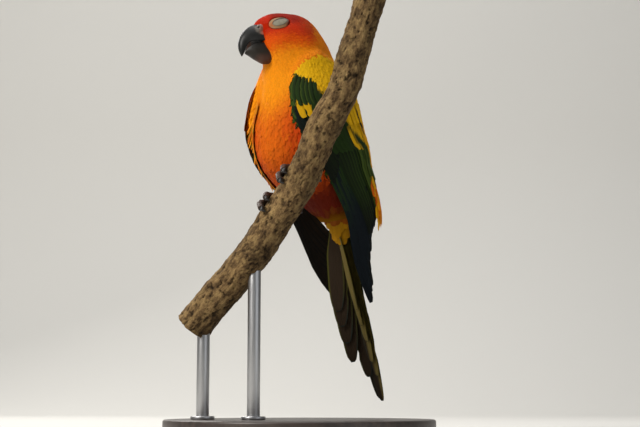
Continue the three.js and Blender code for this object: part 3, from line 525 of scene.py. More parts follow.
def featherMesh(name, vanes, columns, bakeAt=None):
    middle, out, across = vanes["middle"], vanes["out"], vanes["across"]
    count, stations = middle.shape[:2]
    s = np.linspace(-1, 1, columns)
    wide = np.where(s < 0, vanes["before"][..., None], vanes["after"][..., None]) * s
    high = -vanes["camber"][..., None] * s**2 + vanes.get("ridge", 0) * np.exp(-(s / 0.14) ** 2)
    top = middle[:, :, None] + across[:, :, None] * wide[..., None] + out[:, :, None] * high[..., None]
    under = top - out[:, :, None] * (vanes["thick"] * (1 - s**2))[:, None]
    inner = (slice(None), slice(1, -1), slice(1, -1))
    co = np.concatenate([top.reshape(count, -1, 3), under[inner].reshape(count, -1, 3)], 1)
    each = co.shape[1]
    faces = sheetFaces(stations, columns)
    quads = np.vstack(faces)
    allQuads = (quads[None] + np.arange(count)[:, None, None] * each).reshape(-1, 4)
    obj = arrayMesh(name, co.reshape(-1, 3), allQuads)

    # the rim stays sharp, so that each face of a vane is shaded flat and soft
    edge = np.empty(len(obj.data.edges) * 2, np.int32)
    obj.data.edges.foreach_get("vertices", edge)
    k, m = np.divmod(np.arange(stations * columns), columns)
    rim = np.zeros(each, bool)
    rim[:stations * columns] = (k == 0) | (k == stations - 1) | (m == 0) | (m == columns - 1)
    sharp = obj.data.attributes.new("sharp_edge", "BOOLEAN", "EDGE")
    sharp.data.foreach_set("value", rim[edge.reshape(-1, 2) % each].all(1))

    colour, underColour = (np.broadcast_to(vanes[key], top.shape) for key in ("colour", "under"))
    paint(obj, np.concatenate([
        colour.reshape(count, -1, 3), underColour[inner].reshape(count, -1, 3)], 1).reshape(-1, 3))

    # where a corner lies on its vane, in millimetres across and along, for the barbs
    along = runOf(middle)
    place = np.stack([wide, np.broadcast_to(along[..., None], wide.shape)], -1)
    local = np.concatenate([place.reshape(count, -1, 2), place[inner].reshape(count, -1, 2)], 1)
    vaneMap = obj.data.uv_layers.new(name="vane")
    vaneMap.data.foreach_set("uv", local.reshape(-1, 2)[allQuads.ravel()].astype(np.float32).ravel())

    # the map to bake through
    u = np.broadcast_to((s + 1) / 2, (stations, columns))
    v = np.broadcast_to(np.linspace(0, 1, stations)[:, None], (stations, columns))
    share = np.stack([u, v], -1)
    share = np.concatenate([share.reshape(-1, 2), share[1:-1, 1:-1].reshape(-1, 2)])
    corner = share[quads.ravel()]
    if bakeAt is None:  # a long feather has its own strip, its upper and its under face side by side
        abreast = math.ceil(math.sqrt(count / 4)) * 2
        rows = math.ceil(count / abreast)
        isUnder = np.repeat([0, 1], [len(f) * 4 for f in faces])
        corner = np.stack([corner[:, 0] * 0.44 + 0.03 + isUnder * 0.5, corner[:, 1] * 0.94 + 0.03], -1)
        spot = np.stack(np.divmod(np.arange(count), rows), -1)
        uv = (corner[None] + spot[:, None]) * (1 / abreast, 1 / rows)
    else:  # a small one is a patch at its root's place on the unwrapped skin
        uv = bakeAt[:, None] + (corner[None] - 0.5) * coat["patch"]
    bakeMap = obj.data.uv_layers.new(name="OFBake")
    bakeMap.data.foreach_set("uv", uv.astype(np.float32).ravel())
    return obj


# the small feathers of head, neck, body and shoulders

coat = {
    "seed": 4,
    "stations": (0, 0.38, 0.75, 1),
    "width": (0.42, 1, 0.86, 0.24),  # of the half width, at the stations
    "shade": (0.82, 0.93, 1, 1.03),  # painted shade: darker at the root, where the feathers above overlap it
    "patch": 0.003,
    "faceLength": 1.5, "headLength": 3.1, "bodyLength": 7.2,
    "spacing": 0.2,  # between roots, as a share of the length
    "slender": 0.29,  # half width as a share of the length
    "lift": 0.085,
    "rootSunk": 0.12,
    "astray": 9,  # degrees
    "candidates": 5,
    "headReach": 24, "neckFrom": 34,  # where its pieces meet
    "billReach": 23, "eyeRing": (5.7, 3.5),  # what stays bare on the head
    "tailFrom": (40, 48), "tailLonger": 0.6,  # the lowest reach past the body's end, over the tail's root
}

tint = tints({
    # the crown's deep red is darkened further as painted shade on the top of the head
    "crown": "8a1802", "forehead": "ad2002", "face": "bb2c02", "cheek": "d95302", "throat": "eb8b09",
    "nape": "dc7a04", "hindCrown": "a93c02",
    "chest": "ee9008", "breast": "d25f04", "flank": "c23c03", "belly": "b84704",
    # the vent's red-orange is darkened as painted shade, under the body
    "vent": "641801", "ventTips": "94660f", "mantle": "dca70b", "rump": "d8900b",
    "shoulder": "e2ad09", "wrist": "152207", "wristLight": "32480f",
})

def inwardOf(p):  # how far in from the wing's leading edge, in millimetres
    height, angle, side = aroundSpine(p)
    lead = readTable(wing["rows"], height)[:, 0]
    rows = readTable(bird["sections"], height)
    return np.radians(angle - lead) * (rows[:, 1] + rows[:, 2]) / 2


def plumage(p, wander):  # the colours at a place, with painted shade on the crown and the vent and painted light on the breast's front line; wander, -1 to 1, roughens their borders
    height, angle, side = aroundSpine(p)
    f, l, u = headSteps(p).T
    low = height + wander * 3
    turned = angle + wander * 7
    body = layers(
        tint, "breast", height.shape,
        ("chest", ease(low, 12, 34) * ease(-turned, 30, 62)),
        # painted light: the breast's front line is lightened towards the chest's colour, against the shading
        # at that edge
        ("chest", 0.55 * ease(-turned, 84, 112)),
        ("flank", ease(turned, -82, -48) * ease(-low, -42, -8)),
        ("belly", ease(-low, -4, 18) * 0.8),
        ("vent", ease(-low, 26, 40)),
        ("ventTips", ease(-low, 50, 64)),
        ("mantle", ease(turned, -22, 6) * ease(low, -40, -20)),
        ("rump", ease(turned, 0, 22) * ease(-low, 4, 30)),
        ("nape", ease(low, 34, 46) * ease(turned, -45, -8)),
    )
    face = layers(
        tint, "throat", height.shape,
        ("cheek", ease(u + wander * 1.5, -17, -8)),
        ("face", ease(u + wander * 2 - 0.12 * f, -9, -1)),
        ("crown", ease(u + wander * 1.6, 1, 6) * ease(f, -15, -4)),
        ("forehead", ease(f, 8, 14) * ease(u, -3, 2)),
        ("hindCrown", ease(-f + wander * 2, 6, 13) * ease(u, -8, 2) * 0.75),
        ("nape", ease(-f + wander * 2.5, 13, 20)),
    )
    fromHead = np.hypot(np.hypot((f + 2) * np.where(f > 0, 0.7, 1), l), u * 0.9)
    return over(body, face, ease(wander * 1.6 - fromHead, -27, -19))


def shoulderMarks(p, wander):  # small coverts on the arm: yellow, with the dark green patch at the wrist
    height, angle, side = aroundSpine(p)
    inward, right = inwardOf(p), ease(-side, 0, 1)
    green = ease((42 - height) * 1.02 - inward + wander * 2.2, -1, 1.2) * ease(-height, -43, -40)
    green = green * (1 - right * ease(height, 6, 14))
    c = layers(tint, "shoulder", height.shape, ("chest", right * ease(-inward, -14, -8)))
    return over(c, layers(tint, "wrist", height.shape, ("wristLight", (wander > 0.55) * 0.8)), green)


def featherLength(p):
    steps = headSteps(p)
    fromBill = np.linalg.norm(steps - np.array([15, 0, -1]), axis=1)
    fromEye = np.linalg.norm((steps - np.array([bird["eye"][0], 0, bird["eye"][1]]))[:, [0, 2]], axis=1)
    size = mix(coat["faceLength"], coat["headLength"], ease(fromBill, 3, 18))
    size = mix(size, coat["bodyLength"], ease(fromBill, 24, 60))
    return np.where(fromBill < 26, np.minimum(size, mix(1.4, 3.2, ease(fromEye, 6, 14))), size)


def lieOf(p, n):  # the way the feathers lie: back from the bill over the head, then down the body
    height, side, depth = bodyPlace(p)
    place, up, back = spineAt(height)
    far = np.linalg.norm(p - headMiddle, axis=1)
    way = mix(unit(p - headPoint(15, 0, -2)), -up, ease(far, 15, 34)[:, None])
    return unit(way - n * dot(way, n)[:, None])


def scatterRoots(obj, spacingOf, seed):
    rng = np.random.default_rng(seed)
    mesh = obj.data
    mesh.calc_loop_triangles()
    count = len(mesh.loop_triangles)
    corners, loops = np.empty(count * 3, np.int32), np.empty(count * 3, np.int32)
    area = np.empty(count)
    mesh.loop_triangles.foreach_get("vertices", corners)
    mesh.loop_triangles.foreach_get("loops", loops)
    mesh.loop_triangles.foreach_get("area", area)
    corners, loops = corners.reshape(-1, 3), loops.reshape(-1, 3)
    co, n = points(mesh) / mm, normals(mesh)
    uv = np.empty(len(mesh.loops) * 2, np.float32)
    mesh.uv_layers["OFBake"].data.foreach_get("uv", uv)
    spacing = spacingOf(co[corners].mean(1))
    weight = area / mm**2 / spacing**2
    pick = rng.choice(count, int(weight.sum() * coat["candidates"]), p=weight / weight.sum())
    a, b = rng.random((2, len(pick)))
    flip = a + b > 1
    a, b = np.where(flip, 1 - a, a), np.where(flip, 1 - b, b)
    share = np.stack([1 - a - b, a, b], -1)[..., None]
    p = (co[corners[pick]] * share).sum(1)
    near = spacingOf(p)
    tree = KDTree(len(p))
    for i, place in enumerate(p):
        tree.insert(place, i)
    tree.balance()
    gone, kept = np.zeros(len(p), bool), []
    for i in range(len(p)):
        if not gone[i]:
            kept.append(i)
            for _, j, _ in tree.find_range(p[i], near[i]):
                gone[j] = True
    kept = np.array(kept)
    root = (n[corners[pick]] * share).sum(1)
    spot = (uv.reshape(-1, 2)[loops[pick]] * share).sum(1)
    return p[kept], unit(root[kept]), spot[kept]


def ontoSkin(p):  # nearest places on the skin, and the way out there
    found = [skinTree.find_nearest(place) for place in p]
    return np.array([hit[0] for hit in found]), np.array([hit[1] for hit in found])


skinTree = BVHTree.FromPolygons(
    [tuple(v) for v in points(skin.data) / mm], [tuple(f.vertices) for f in skin.data.polygons])
roots, rootOut, rootSpot = scatterRoots(skin, lambda p: featherLength(p) * coat["spacing"], coat["seed"])
rng = np.random.default_rng(coat["seed"] + 1)
print("roots", len(roots))

# none grows on the bill, the bare ring of the eye, under the wings' coverts or on the end of the body
f, l, u = headSteps(roots).T
aside = np.abs(l)
atBill = (f > 13) & (aside < 6.4) & (u < 3) & (u > -13)
atBill |= (f > 13) & (aside > 3.4) & (u > 1) & (u < 5.6)
atBill |= (f > 15) & (u < 5.6)
atBill &= np.linalg.norm(headSteps(roots), axis=1) < coat["billReach"]
atEye = np.hypot((f - bird["eye"][0]) / coat["eyeRing"][0], (u - bird["eye"][1]) / coat["eyeRing"][1]) < 1
atEye &= aside > 6
rootHeight, rootAngle, _ = aroundSpine(roots)
leading, inner = readTable(wing["rows"], rootHeight)[:, :2].T
armPart = (outsideBody(roots) > 0.15) & (rootAngle > leading - 1)
underWing = (rootAngle > leading + 7) & (rootAngle < inner - 10) & (rootHeight > -72) & (rootHeight < 30)
underCoverts = np.where(armPart, (rootHeight < 18) & (rootAngle > leading + 2), underWing)
bodyEnd = (rootHeight < -46) & (dot(rootOut, spineAt(rootHeight)[1]) < -0.42)
keep = ~(atBill | atEye | underCoverts | bodyEnd)
roots, rootOut, rootSpot, rootHeight, armPart = (
    a[keep] for a in (roots, rootOut, rootSpot, rootHeight, armPart))


def squared(middle, out):  # the way along each vane, and its way out made square to that
    onward = unit(np.gradient(middle, axis=1))
    return onward, unit(out - onward * dot(out, onward)[..., None])


def smallFeathers(name, mask, coloursAt):
    p, n, spot = roots[mask], rootOut[mask], rootSpot[mask]
    count = len(p)
    length = featherLength(p) * rng.uniform(0.85, 1.18, count)
    lie = lieOf(p, n)
    astray = np.radians(rng.normal(0, coat["astray"], count))[:, None]
    lie = unit(lie * np.cos(astray) + np.cross(n, lie) * np.sin(astray))
    lift = coat["lift"] * rng.uniform(0.7, 1.35, count)
    overTail = ease(-aroundSpine(p)[0], *coat["tailFrom"])[:, None]
    length = length * (1 + coat["tailLonger"] * overTail[:, 0])
    middle, out = [], []
    for t in coat["stations"]:
        straight = p + lie * (length * t)[:, None]
        on, way = ontoSkin(straight) if t else (p, n)
        on, way = mix(on, straight, overTail), unit(mix(way, n, overTail) + n * 0.6)
        raised = length * lift * t**0.8 - (coat["rootSunk"] if t == 0 else 0)
        middle.append(on + way * raised[:, None])
        out.append(way)
    middle = np.stack(middle, 1)
    onward, out = squared(middle, np.stack(out, 1))
    half = (length * coat["slender"] * rng.uniform(0.85, 1.15, count))[:, None] * np.array(coat["width"])
    wander = rng.uniform(-1, 1, count)
    colour = coloursAt(middle[:, 2], wander) * rng.uniform(0.93, 1.06, count)[:, None]
    return featherMesh(name, {
        "middle": middle, "out": out, "across": np.cross(onward, out), "before": half, "after": half,
        "camber": half * 0.22, "thick": 0.1,
        # painted shade: each vane darker towards its root
        "colour": colour[:, None, None] * np.array(coat["shade"])[:, None, None],
        "under": (colour * 0.7)[:, None, None],
    }, 3, spot)


headSide = np.linalg.norm(headSteps(roots), axis=1) < coat["headReach"]
neckSide = ~headSide & (rootHeight > coat["neckFrom"])
pieces = {}
for name, mask, coloursAt in (
        ("coat_head", headSide & ~armPart, plumage),
        ("coat_neck", neckSide & ~armPart, plumage),
        ("coat_body", ~headSide & ~neckSide & ~armPart, plumage),
        ("coat_shoulders", armPart, shoulderMarks)):
    pieces[name] = smallFeathers(name, mask, coloursAt)
    print(name, len(pieces[name].data.polygons) * 2, "triangles")

# the skin between them has the same colours, darkened as painted shade in the gaps between the feathers
skinCo = points(skin.data) / mm
steady = np.zeros(len(skinCo))
skinHeight, skinAngle, _ = aroundSpine(skinCo)
fromEdge = skinAngle - readTable(wing["rows"], skinHeight)[:, 0]
onArm = ease(outsideBody(skinCo), 0, 0.4) * ease(fromEdge, -8, -5)
paint(skin, over(plumage(skinCo, steady), shoulderMarks(skinCo, steady), onArm) * 0.75)


# flight feathers and large coverts of the wings

wingFeathers = {
    "stations": 14,
    "columns": 9,
    "tilt": 8,  # degrees, the leading side of each vane lies over its neighbour
    "thick": 0.3,
    "tiers": [  # deepest first; roots and tips as height and millimetres in from the leading edge
        {"kind": "primary", "count": 9, "half": 4.3, "outer": 0.62, "tip": 0.3, "sunk": (2, 0.55),
         "opened": 1.7,  # on the right wing they are a little parted, and show more of their inner vanes
         "roots": ((6, 4), (-2, 13)),
         "tips": ((-104, 2.4), (-116, 1.2), (-110, 3.5), (-100, 6), (-88, 9), (-76, 12)),
         "rightTips": ((-106, 1.5), (-116, 3), (-113, 6), (-106, 11), (-97, 16), (-87, 21))},
        {"kind": "secondary", "count": 8, "half": 5, "outer": 0.75, "tip": 0.5, "sunk": (1.7, 0.45),
         "roots": ((2, 14), (-4, 33)), "tips": ((-73, 12.5), (-66, 17), (-57, 23))},
        {"kind": "tertial", "count": 4, "half": 5.6, "outer": 0.9, "tip": 0.5, "sunk": (1.5, 0.1),
         "roots": ((0, 35), (0, 46)), "tips": ((-58, 22), (-50, 27), (-42, 33))},
        {"kind": "primaryCovert", "count": 8, "half": 3, "outer": 0.75, "tip": 0.4, "sunk": (2, 0.75),
         "roots": ((18, 3.5), (4, 14)), "tips": ((-32, 3.2), (-12, 14))},
        {"kind": "alula", "count": 3, "half": 3, "outer": 0.8, "tip": 0.4, "sunk": (2, 1),
         "roots": ((22, 3), (18, 6)), "tips": ((-8, 2.2), (0, 7))},
        {"kind": "greatCovert", "count": 10, "half": 4, "outer": 0.85, "tip": 0.55, "sunk": (1.7, 0.3),
         "roots": ((10, 13), (8, 46)), "tips": ((-14, 14), (-21, 42))},
        {"kind": "middleCovert", "count": 10, "half": 3.9, "outer": 0.9, "tip": 0.6, "sunk": (1.7, 0.15),
         "roots": ((22, 9), (20, 47)), "tips": ((2, 10), (-3, 44))},
        {"kind": "lesserCovert", "count": 11, "half": 3.4, "outer": 0.95, "tip": 0.6, "sunk": (1.7, 0.2),
         "roots": ((29, 5), (27, 47)), "tips": ((13, 6), (9, 45))},
        {"kind": "wristCovert", "count": 6, "half": 2.4, "outer": 0.95, "tip": 0.35, "sunk": (1.6, 0.5),
         "roots": ((38, 3), (33, 15)), "tips": ((21, 3), (18, 16))},
        {"kind": "scapular", "count": 7, "half": 4.4, "outer": 1, "tip": 0.5, "sunk": (1.5, 0.25),
         "roots": ((28, 44), (8, 51)), "tips": ((-6, 45), (-34, 37))},
    ],
}

flight = tints({
    "blueBlack": "0e151b", "teal": "101f1e", "green": "21350e", "deepGreen": "17240a",
    "edgeGreen": "4b5c1e", "yellow": "d9a60a", "orange": "dd7a0a", "orangeUnder": "b8650c",
    "inner": "0c0f0d", "under": "1f1810", "black": "0c110a",
})
yellowLine = np.array([  # inward from the leading edge, height: the coverts are yellow above it
    (-4, 45), (0, 41), (8, 34), (13, 28.5), (18, 25), (30, 0), (34, -6), (39, -24), (60, -60)], float)


def extended(places):  # with one more row at each end
    rows = np.asarray(places, float)
    return np.vstack([2 * rows[0] - rows[1], rows, 2 * rows[-1] - rows[-2]])


def alongTable(table, t):  # smooth reading of a table whose rows are evenly spaced from 0 to 1
    rows = extended(table)
    x = np.clip(t, 0, 1) * (len(rows) - 3)
    i = np.minimum(x.astype(int), len(rows) - 4)
    a, b, c, d = (rows[i + n] for n in range(4))
    return hermite(b, c, (c - a) / 2, (d - b) / 2, (x - i)[:, None])


def vaneWidth(t, tip):  # narrow at the root, full, then a rounded tip
    past = np.clip((t - 0.62) / 0.38, 0, 1)
    return (0.5 + 0.5 * ease(t, 0, 0.35)) * mix(tip, 1, np.sqrt(1 - past**2))


def flightColour(side, kind, n, t, s, height, inward, rng):
    # n: which feather, 0 nearest the leading edge; t along, s across, both with the vane's own places
    t, s = np.broadcast_arrays(t[:, None], s[None])
    lead = -s  # 1 at the leading side
    height = np.broadcast_to(height[:, None], t.shape)
    inward = inward[:, None] + s * 3
    wander = rng.uniform(-1, 1)
    breastSide = ease(height, 9, 15) * (side < 0)  # orange like the breast beside it
    plain = {
        "primary": [
            "inner", ("blueBlack", ease(lead, -0.5, 0.1)),
            ("teal", ease(lead, -0.2, 0.5) * ease(-t, -0.75, -0.35)),
            ("green", ease(lead, 0.2, 0.8) * ease(-t, -0.62, -0.3))],
        "secondary": [
            "inner", ("black", ease(lead, -0.6, 0.2)),
            ("green", ease(lead, 0, 0.8) * ease(-t, -0.95, -0.6) * mix(0.35, 0.9, n)),
            ("edgeGreen", ease(lead, 0.8, 0.98) * 0.5 * n)],
        "tertial": [
            "deepGreen", ("green", ease(lead, -0.4, 0.4)), ("edgeGreen", ease(lead, -0.1, 0.85) * 0.75),
            ("black", ease(s, 0.75, 0.95) * 0.8)],
        "primaryCovert": [
            "black", ("deepGreen", ease(lead, -0.3, 0.6) * mix(0.1, 0.9, n)), ("orange", breastSide)],
        "alula": ["black", ("teal", ease(lead, 0, 0.8) * 0.5), ("orange", breastSide)],
        "scapular": [
            "yellow", ("orange", 0.3 * ease(t, 0.5, 1)),
            # painted shadow: a dark line on the left wing's scapulars nearest the wing, for the shade between
            # them and the folded wing
            ("black", (side > 0) * (n < 0.2) * ease(lead, 0.45, 0.7) * ease(t, 0.5, 0.7))],
    }
    if side > 0:
        plain["wristCovert"] = [
            "deepGreen", ("green", ease(lead, -0.3, 0.8)),
            ("edgeGreen", ease(lead, 0.5, 1) * (wander > 0) * 0.6)]
    if kind in plain:
        base, *coats = plain[kind]
        return layers(flight, base, t.shape, *coats)
    # the other coverts: yellow over the line, green under it, nearly black at the leading edge
    line = np.interp(inward, yellowLine[:, 0], yellowLine[:, 1])
    yellow = ease(height - line + wander * 2.5, -1.2, 0.6)
    if side > 0 and kind == "lesserCovert" and n < 0.15:
        yellow = np.ones(t.shape)
    streak = ease(-np.abs(inward - 26), -6, -3) * (wander > -0.4) * (kind == "greatCovert")
    coats = [
        ("green", ease(lead, -0.6, 0.6) * 0.8),
        ("black", ease(-inward, -9, -5) * ease(-height, -16, -13)),
        ("black", ease(s, 0.55, 0.95) * 0.6),
        ("yellow", streak * ease(np.abs(s), 0, 0.3) * ease(t, 0.3, 0.6)),
        ("yellow", yellow),
    ]
    if side < 0:  # seen past the breast, whose side feathers reach over this edge
        coats.append(("orange", ease(12 * ease(height, 5, 15) - 1.5 - inward + wander, -1, 1)))
    return layers(flight, "deepGreen", t.shape, *coats)


def vaneStations(count):  # closer together towards the tip
    return 1 - (1 - np.linspace(0, 1, count)) ** 1.5


def torn(before, after, rng):  # a vane parts here and there, where its barbs have come unhooked
    for side in (before, after):
        for n in range(len(side)):
            for _ in range(rng.integers(0, 3)):
                k = rng.integers(4, side.shape[1] - 1)
                side[n, k] *= rng.uniform(0.72, 0.92)
    return before, after


def wingMesh(side, name, seed):
    rng = np.random.default_rng(seed)
    t = vaneStations(wingFeathers["stations"])
    s = np.linspace(-1, 1, wingFeathers["columns"])
    height, inward, sunk, tilt, half, outer, opened, under, colours = [], [], [], [], [], [], [], [], []
    for tier in wingFeathers["tiers"]:
        share = np.linspace(0, 1, tier["count"])
        tips = tier.get("rightTips", tier["tips"]) if side < 0 else tier["tips"]
        first, last = alongTable(tier["roots"], share), alongTable(tips, share)
        for n in range(tier["count"]):
            longer = rng.uniform(-0.015, 0.015)
            h1 = last[n, 0] + (last[n, 0] - first[n, 0]) * longer
            height.append(mix(first[n, 0], h1, t))
            inward.append(mix(first[n, 1], last[n, 1], t) + rng.normal(0, 0.15))
            sunk.append(mix(*tier["sunk"], t**0.7) + rng.uniform(-0.08, 0.08))
            tilt.append(math.radians(wingFeathers["tilt"] + rng.uniform(-1.5, 1.5)))
            half.append(tier["half"] * rng.uniform(0.94, 1.06) * vaneWidth(t, tier["tip"]))
            outer.append(tier["outer"])
            besideBreast = side < 0 and ("Covert" in tier["kind"] or tier["kind"] == "alula")
            under.append(flight["orangeUnder" if besideBreast else "under"])
            opened.append(mix(1, tier.get("opened", 1) if side < 0 else 1, t))
            # random tone, times painted shade: darker towards the root, where the feathers above overlap it
            shade = rng.uniform(0.9, 1.08) * mix(0.86, 1.04, t)[:, None, None]
            colours.append(shade * flightColour(
                side, tier["kind"], share[n], t, s, height[-1], inward[-1], rng))
    height, inward, sunk, half = (np.array(a) for a in (height, inward, sunk, half))
    thick = readTable(wing["rows"], height)[..., 2]
    # the right wing's leading edge lies close to the breast
    lying = mix(1, 0.5, ease(-inward, -6.5, -0.5)) if side < 0 else 1
    off = wing["rise"] + (np.maximum(thick, 1.1) - sunk) * lying
    middle = wingPlace(side, height, wingAngle(height, inward), off)
    onward, out = squared(middle, bedNormal(middle.reshape(-1, 3)).reshape(middle.shape))
    across = np.cross(onward, out) * -side  # from the leading side to the back
    lean = np.array(tilt)[:, None, None]
    leant = across * np.cos(lean) - out * np.sin(lean)
    out = out * np.cos(lean) + across * np.sin(lean)
    before, after = torn(half * np.array(outer)[:, None], half * np.array(opened), rng)
    colour = np.array(colours)
    if side > 0:  # the columns run the other way round, so that the faces still point out
        leant, before, after, colour = -leant, after, before, colour[:, :, ::-1]
    return featherMesh(name, {
        "middle": middle, "out": out, "across": leant, "before": before, "after": after,
        "camber": half * 0.09, "thick": wingFeathers["thick"], "ridge": 0.16,
        "colour": colour, "under": np.array(under)[:, None, None],
    }, wingFeathers["columns"])


# loose body feathers over the edges of the wings: of the breast on the right, of the rump on the left
looseFeathers = {
    "side_tufts": {
        "side": -1, "seed": 10, "count": 44, "half": 1.9, "raise": 0.2, "spread": (3, 1),
        "roots": ((34, -6), (-20, -5.5)), "tips": ((14, -1.6), (-6, -2), (-40, -2)),
        "colours": ("e58a0c", "d5650a", "b3790f"),
    },
    "rump_tufts": {
        "side": 1, "seed": 10, "count": 34, "half": 1.7, "raise": 0.9, "spread": (3, 2),
        "roots": ((-30, 33), (-48, 30)), "tips": ((-46, 23.5), (-70, 19.5)),
        "colours": ("dd8a0c", "e0a20e", "cf6208"),
    },
}


def looseMesh(name):
    loose = looseFeathers[name]
    rng = np.random.default_rng(loose["seed"])
    count = loose["count"]
    share = np.sort(rng.random(count))
    t = vaneStations(9)
    spread = rng.uniform(-1, 1, (count, 2)) * loose["spread"]
    first = alongTable(loose["roots"], share) + spread
    last = alongTable(loose["tips"], share) + spread * 1.3
    height = mix(first[:, :1], last[:, :1], t)
    inward = mix(first[:, 1:], last[:, 1:], t)
    thick = readTable(wing["rows"], height)[..., 2]
    grown = ease(inward, -3.5, 1.5) * mix(0.3, 1, t**0.5)  # up from the body onto the wing's edge
    off = 0.4 + (wing["rise"] + thick) * grown + loose["raise"] * t * rng.uniform(0.6, 1.5, (count, 1))
    middle = wingPlace(loose["side"], height, wingAngle(height, inward), off)
    onward, out = squared(middle, bedNormal(middle.reshape(-1, 3)).reshape(middle.shape))
    half = loose["half"] * rng.uniform(0.8, 1.2, (count, 1)) * vaneWidth(t, 0.12)
    tones = np.array([linear(value) for value in loose["colours"]])
    colour = tones[rng.integers(0, 3, count)] * rng.uniform(0.85, 1.05, (count, 1))
    return featherMesh(name, {
        "middle": middle, "out": out, "across": np.cross(onward, out), "before": half, "after": half,
        "camber": half * 0.25, "thick": 0.16, "ridge": 0.05,
        # painted shade: darker towards the root
        "colour": colour[:, None, None] * mix(0.75, 1.05, t)[:, None, None],
        "under": (colour * 0.6)[:, None, None],
    }, 5)


for name in looseFeathers:
    pieces[name] = looseMesh(name)
pieces["wing_left_feathers"] = wingMesh(1, "wing_left_feathers", 5)
pieces["wing_right_feathers"] = wingMesh(-1, "wing_right_feathers", 17)
print("wings", len(pieces["wing_left_feathers"].data.polygons) * 4, "triangles")

# the tail: twelve long feathers like a roof, and the coverts over and under their roots

tail = {
    "top": -60,
    "stations": 18,
    "columns": 9,
    "pairs": [  # length, degrees out to the right and to the left, half width, slope of the vane
        (124, 0.2, 0.2, 5.6, 6), (108, 1.6, 1.2, 5.8, 14), (97, 6.4, 1, 6.2, 22),
        (83, 7.4, 2.8, 6.2, 26), (71, 8.4, 4, 6, 28), (60, 9.4, 5.4, 5.5, 30),
    ],
    "step": 1.15,
    "ridge": 1,
    "rootSpread": 0.9,
    "underAside": 2.4,  # the feathers of the vent hang over to the left
    "covertRows": [  # root and tip heights, depths there, reach to the side, count, over 1 or under -1
        (-43, -70, 19.8, 9.6, 13, 11, 1), (-54, -84, 13.5, 6.4, 9, 8, 1), (-62, -97, 9, 3.6, 6, 6, 1),
        (-46, -65, -11.5, -10.2, 12, 9, -1), (-52, -70, -9.5, -10, 9, 8, -1), (-57, -77, -7, -9, 6, 6, -1),
    ],
}
tailTint = tints({
    "olive": "403f18", "green": "223a15", "blueTip": "15282f", "edge": "8f8128",
    "under": "30251a", "underPale": "78693a", "overCovert": "c9980c", "overCovertGreen": "56691a",
    "underCovert": "b5800f", "underCovertRed": "84300a",
})


def tailMesh():
    rng = np.random.default_rng(31)
    t, s = vaneStations(tail["stations"]), np.linspace(-1, 1, tail["columns"])
    tt, ss = np.broadcast_arrays(t[:, None], s[None])
    rows = {key: [] for key in ("middle", "out", "across", "half", "inner", "colour", "under")}
    for side in (1, -1):
        for n, (length, right, left, half, slope) in enumerate(tail["pairs"]):
            lean = math.radians(left if side > 0 else right)
            roll = math.radians(slope + rng.uniform(-1.5, 1.5))
            first, tip = tail["top"] - n, tail["top"] - length + rng.uniform(-1, 1)
            height = mix(first, tip, t)
            place, up, back = spineAt(height)
            out = back * math.cos(roll) + leftWay * side * math.sin(roll)
            across = leftWay * side * math.cos(roll) - back * math.sin(roll)
            aside = 0.8 + tail["rootSpread"] * n + (first - height) * math.tan(lean)
            sunk = tail["step"] * n + tail["ridge"] * (side > 0 or n > 0)
            width = half * vaneWidth(t, 0.2) * rng.uniform(0.96, 1.04)
            toLeft = (aside[:, None] + ss * width[:, None]) * side  # millimetres to the bird's left
            rows["middle"].append(place + across * aside[:, None] - out * sunk + back * 1.5)
            rows["out"].append(out)
            rows["across"].append(across)
            rows["half"].append(width)
            rows["inner"].append(np.minimum(width, aside + 1) if n else width)
            rows["colour"].append(layers(
                tailTint, "olive", tt.shape,
                ("green", ease(ss, -0.3, 0.6) * 0.8), ("blueTip", ease(tt, 0.7, 0.95) * 0.8),
                ("edge", ease(ss, 0.75, 0.97) * (0.7 if side > 0 else 0.25) * (n > 0))))
            rows["under"].append(layers(
                tailTint, "under", tt.shape,
                ("underPale", ease(toLeft, 1.5, 4) * ease(-toLeft, -14, -12)),
                ("blueTip", ease(toLeft, 12.5, 14)), ("edge", ease(ss, 0.82, 0.95) * 0.7 * (side > 0))))
    rows = {key: np.array(value) for key, value in rows.items()}
    before, after = torn(rows["inner"], rows["half"].copy(), rng)
    turned = dot(np.cross(np.gradient(rows["middle"], axis=1), rows["out"]), rows["across"]).mean(1) < 0
    rows["across"][turned] *= -1
    before[turned], after[turned] = after[turned].copy(), before[turned].copy()
    for key in ("colour", "under"):
        rows[key][turned] = rows[key][turned][:, :, ::-1]
    return featherMesh("tail_feathers", {
        "middle": rows["middle"], "out": rows["out"], "across": rows["across"],
        "before": before, "after": after, "camber": rows["half"] * 0.1, "thick": 0.3, "ridge": 0.18,
        "colour": rows["colour"], "under": rows["under"],
    }, tail["columns"])


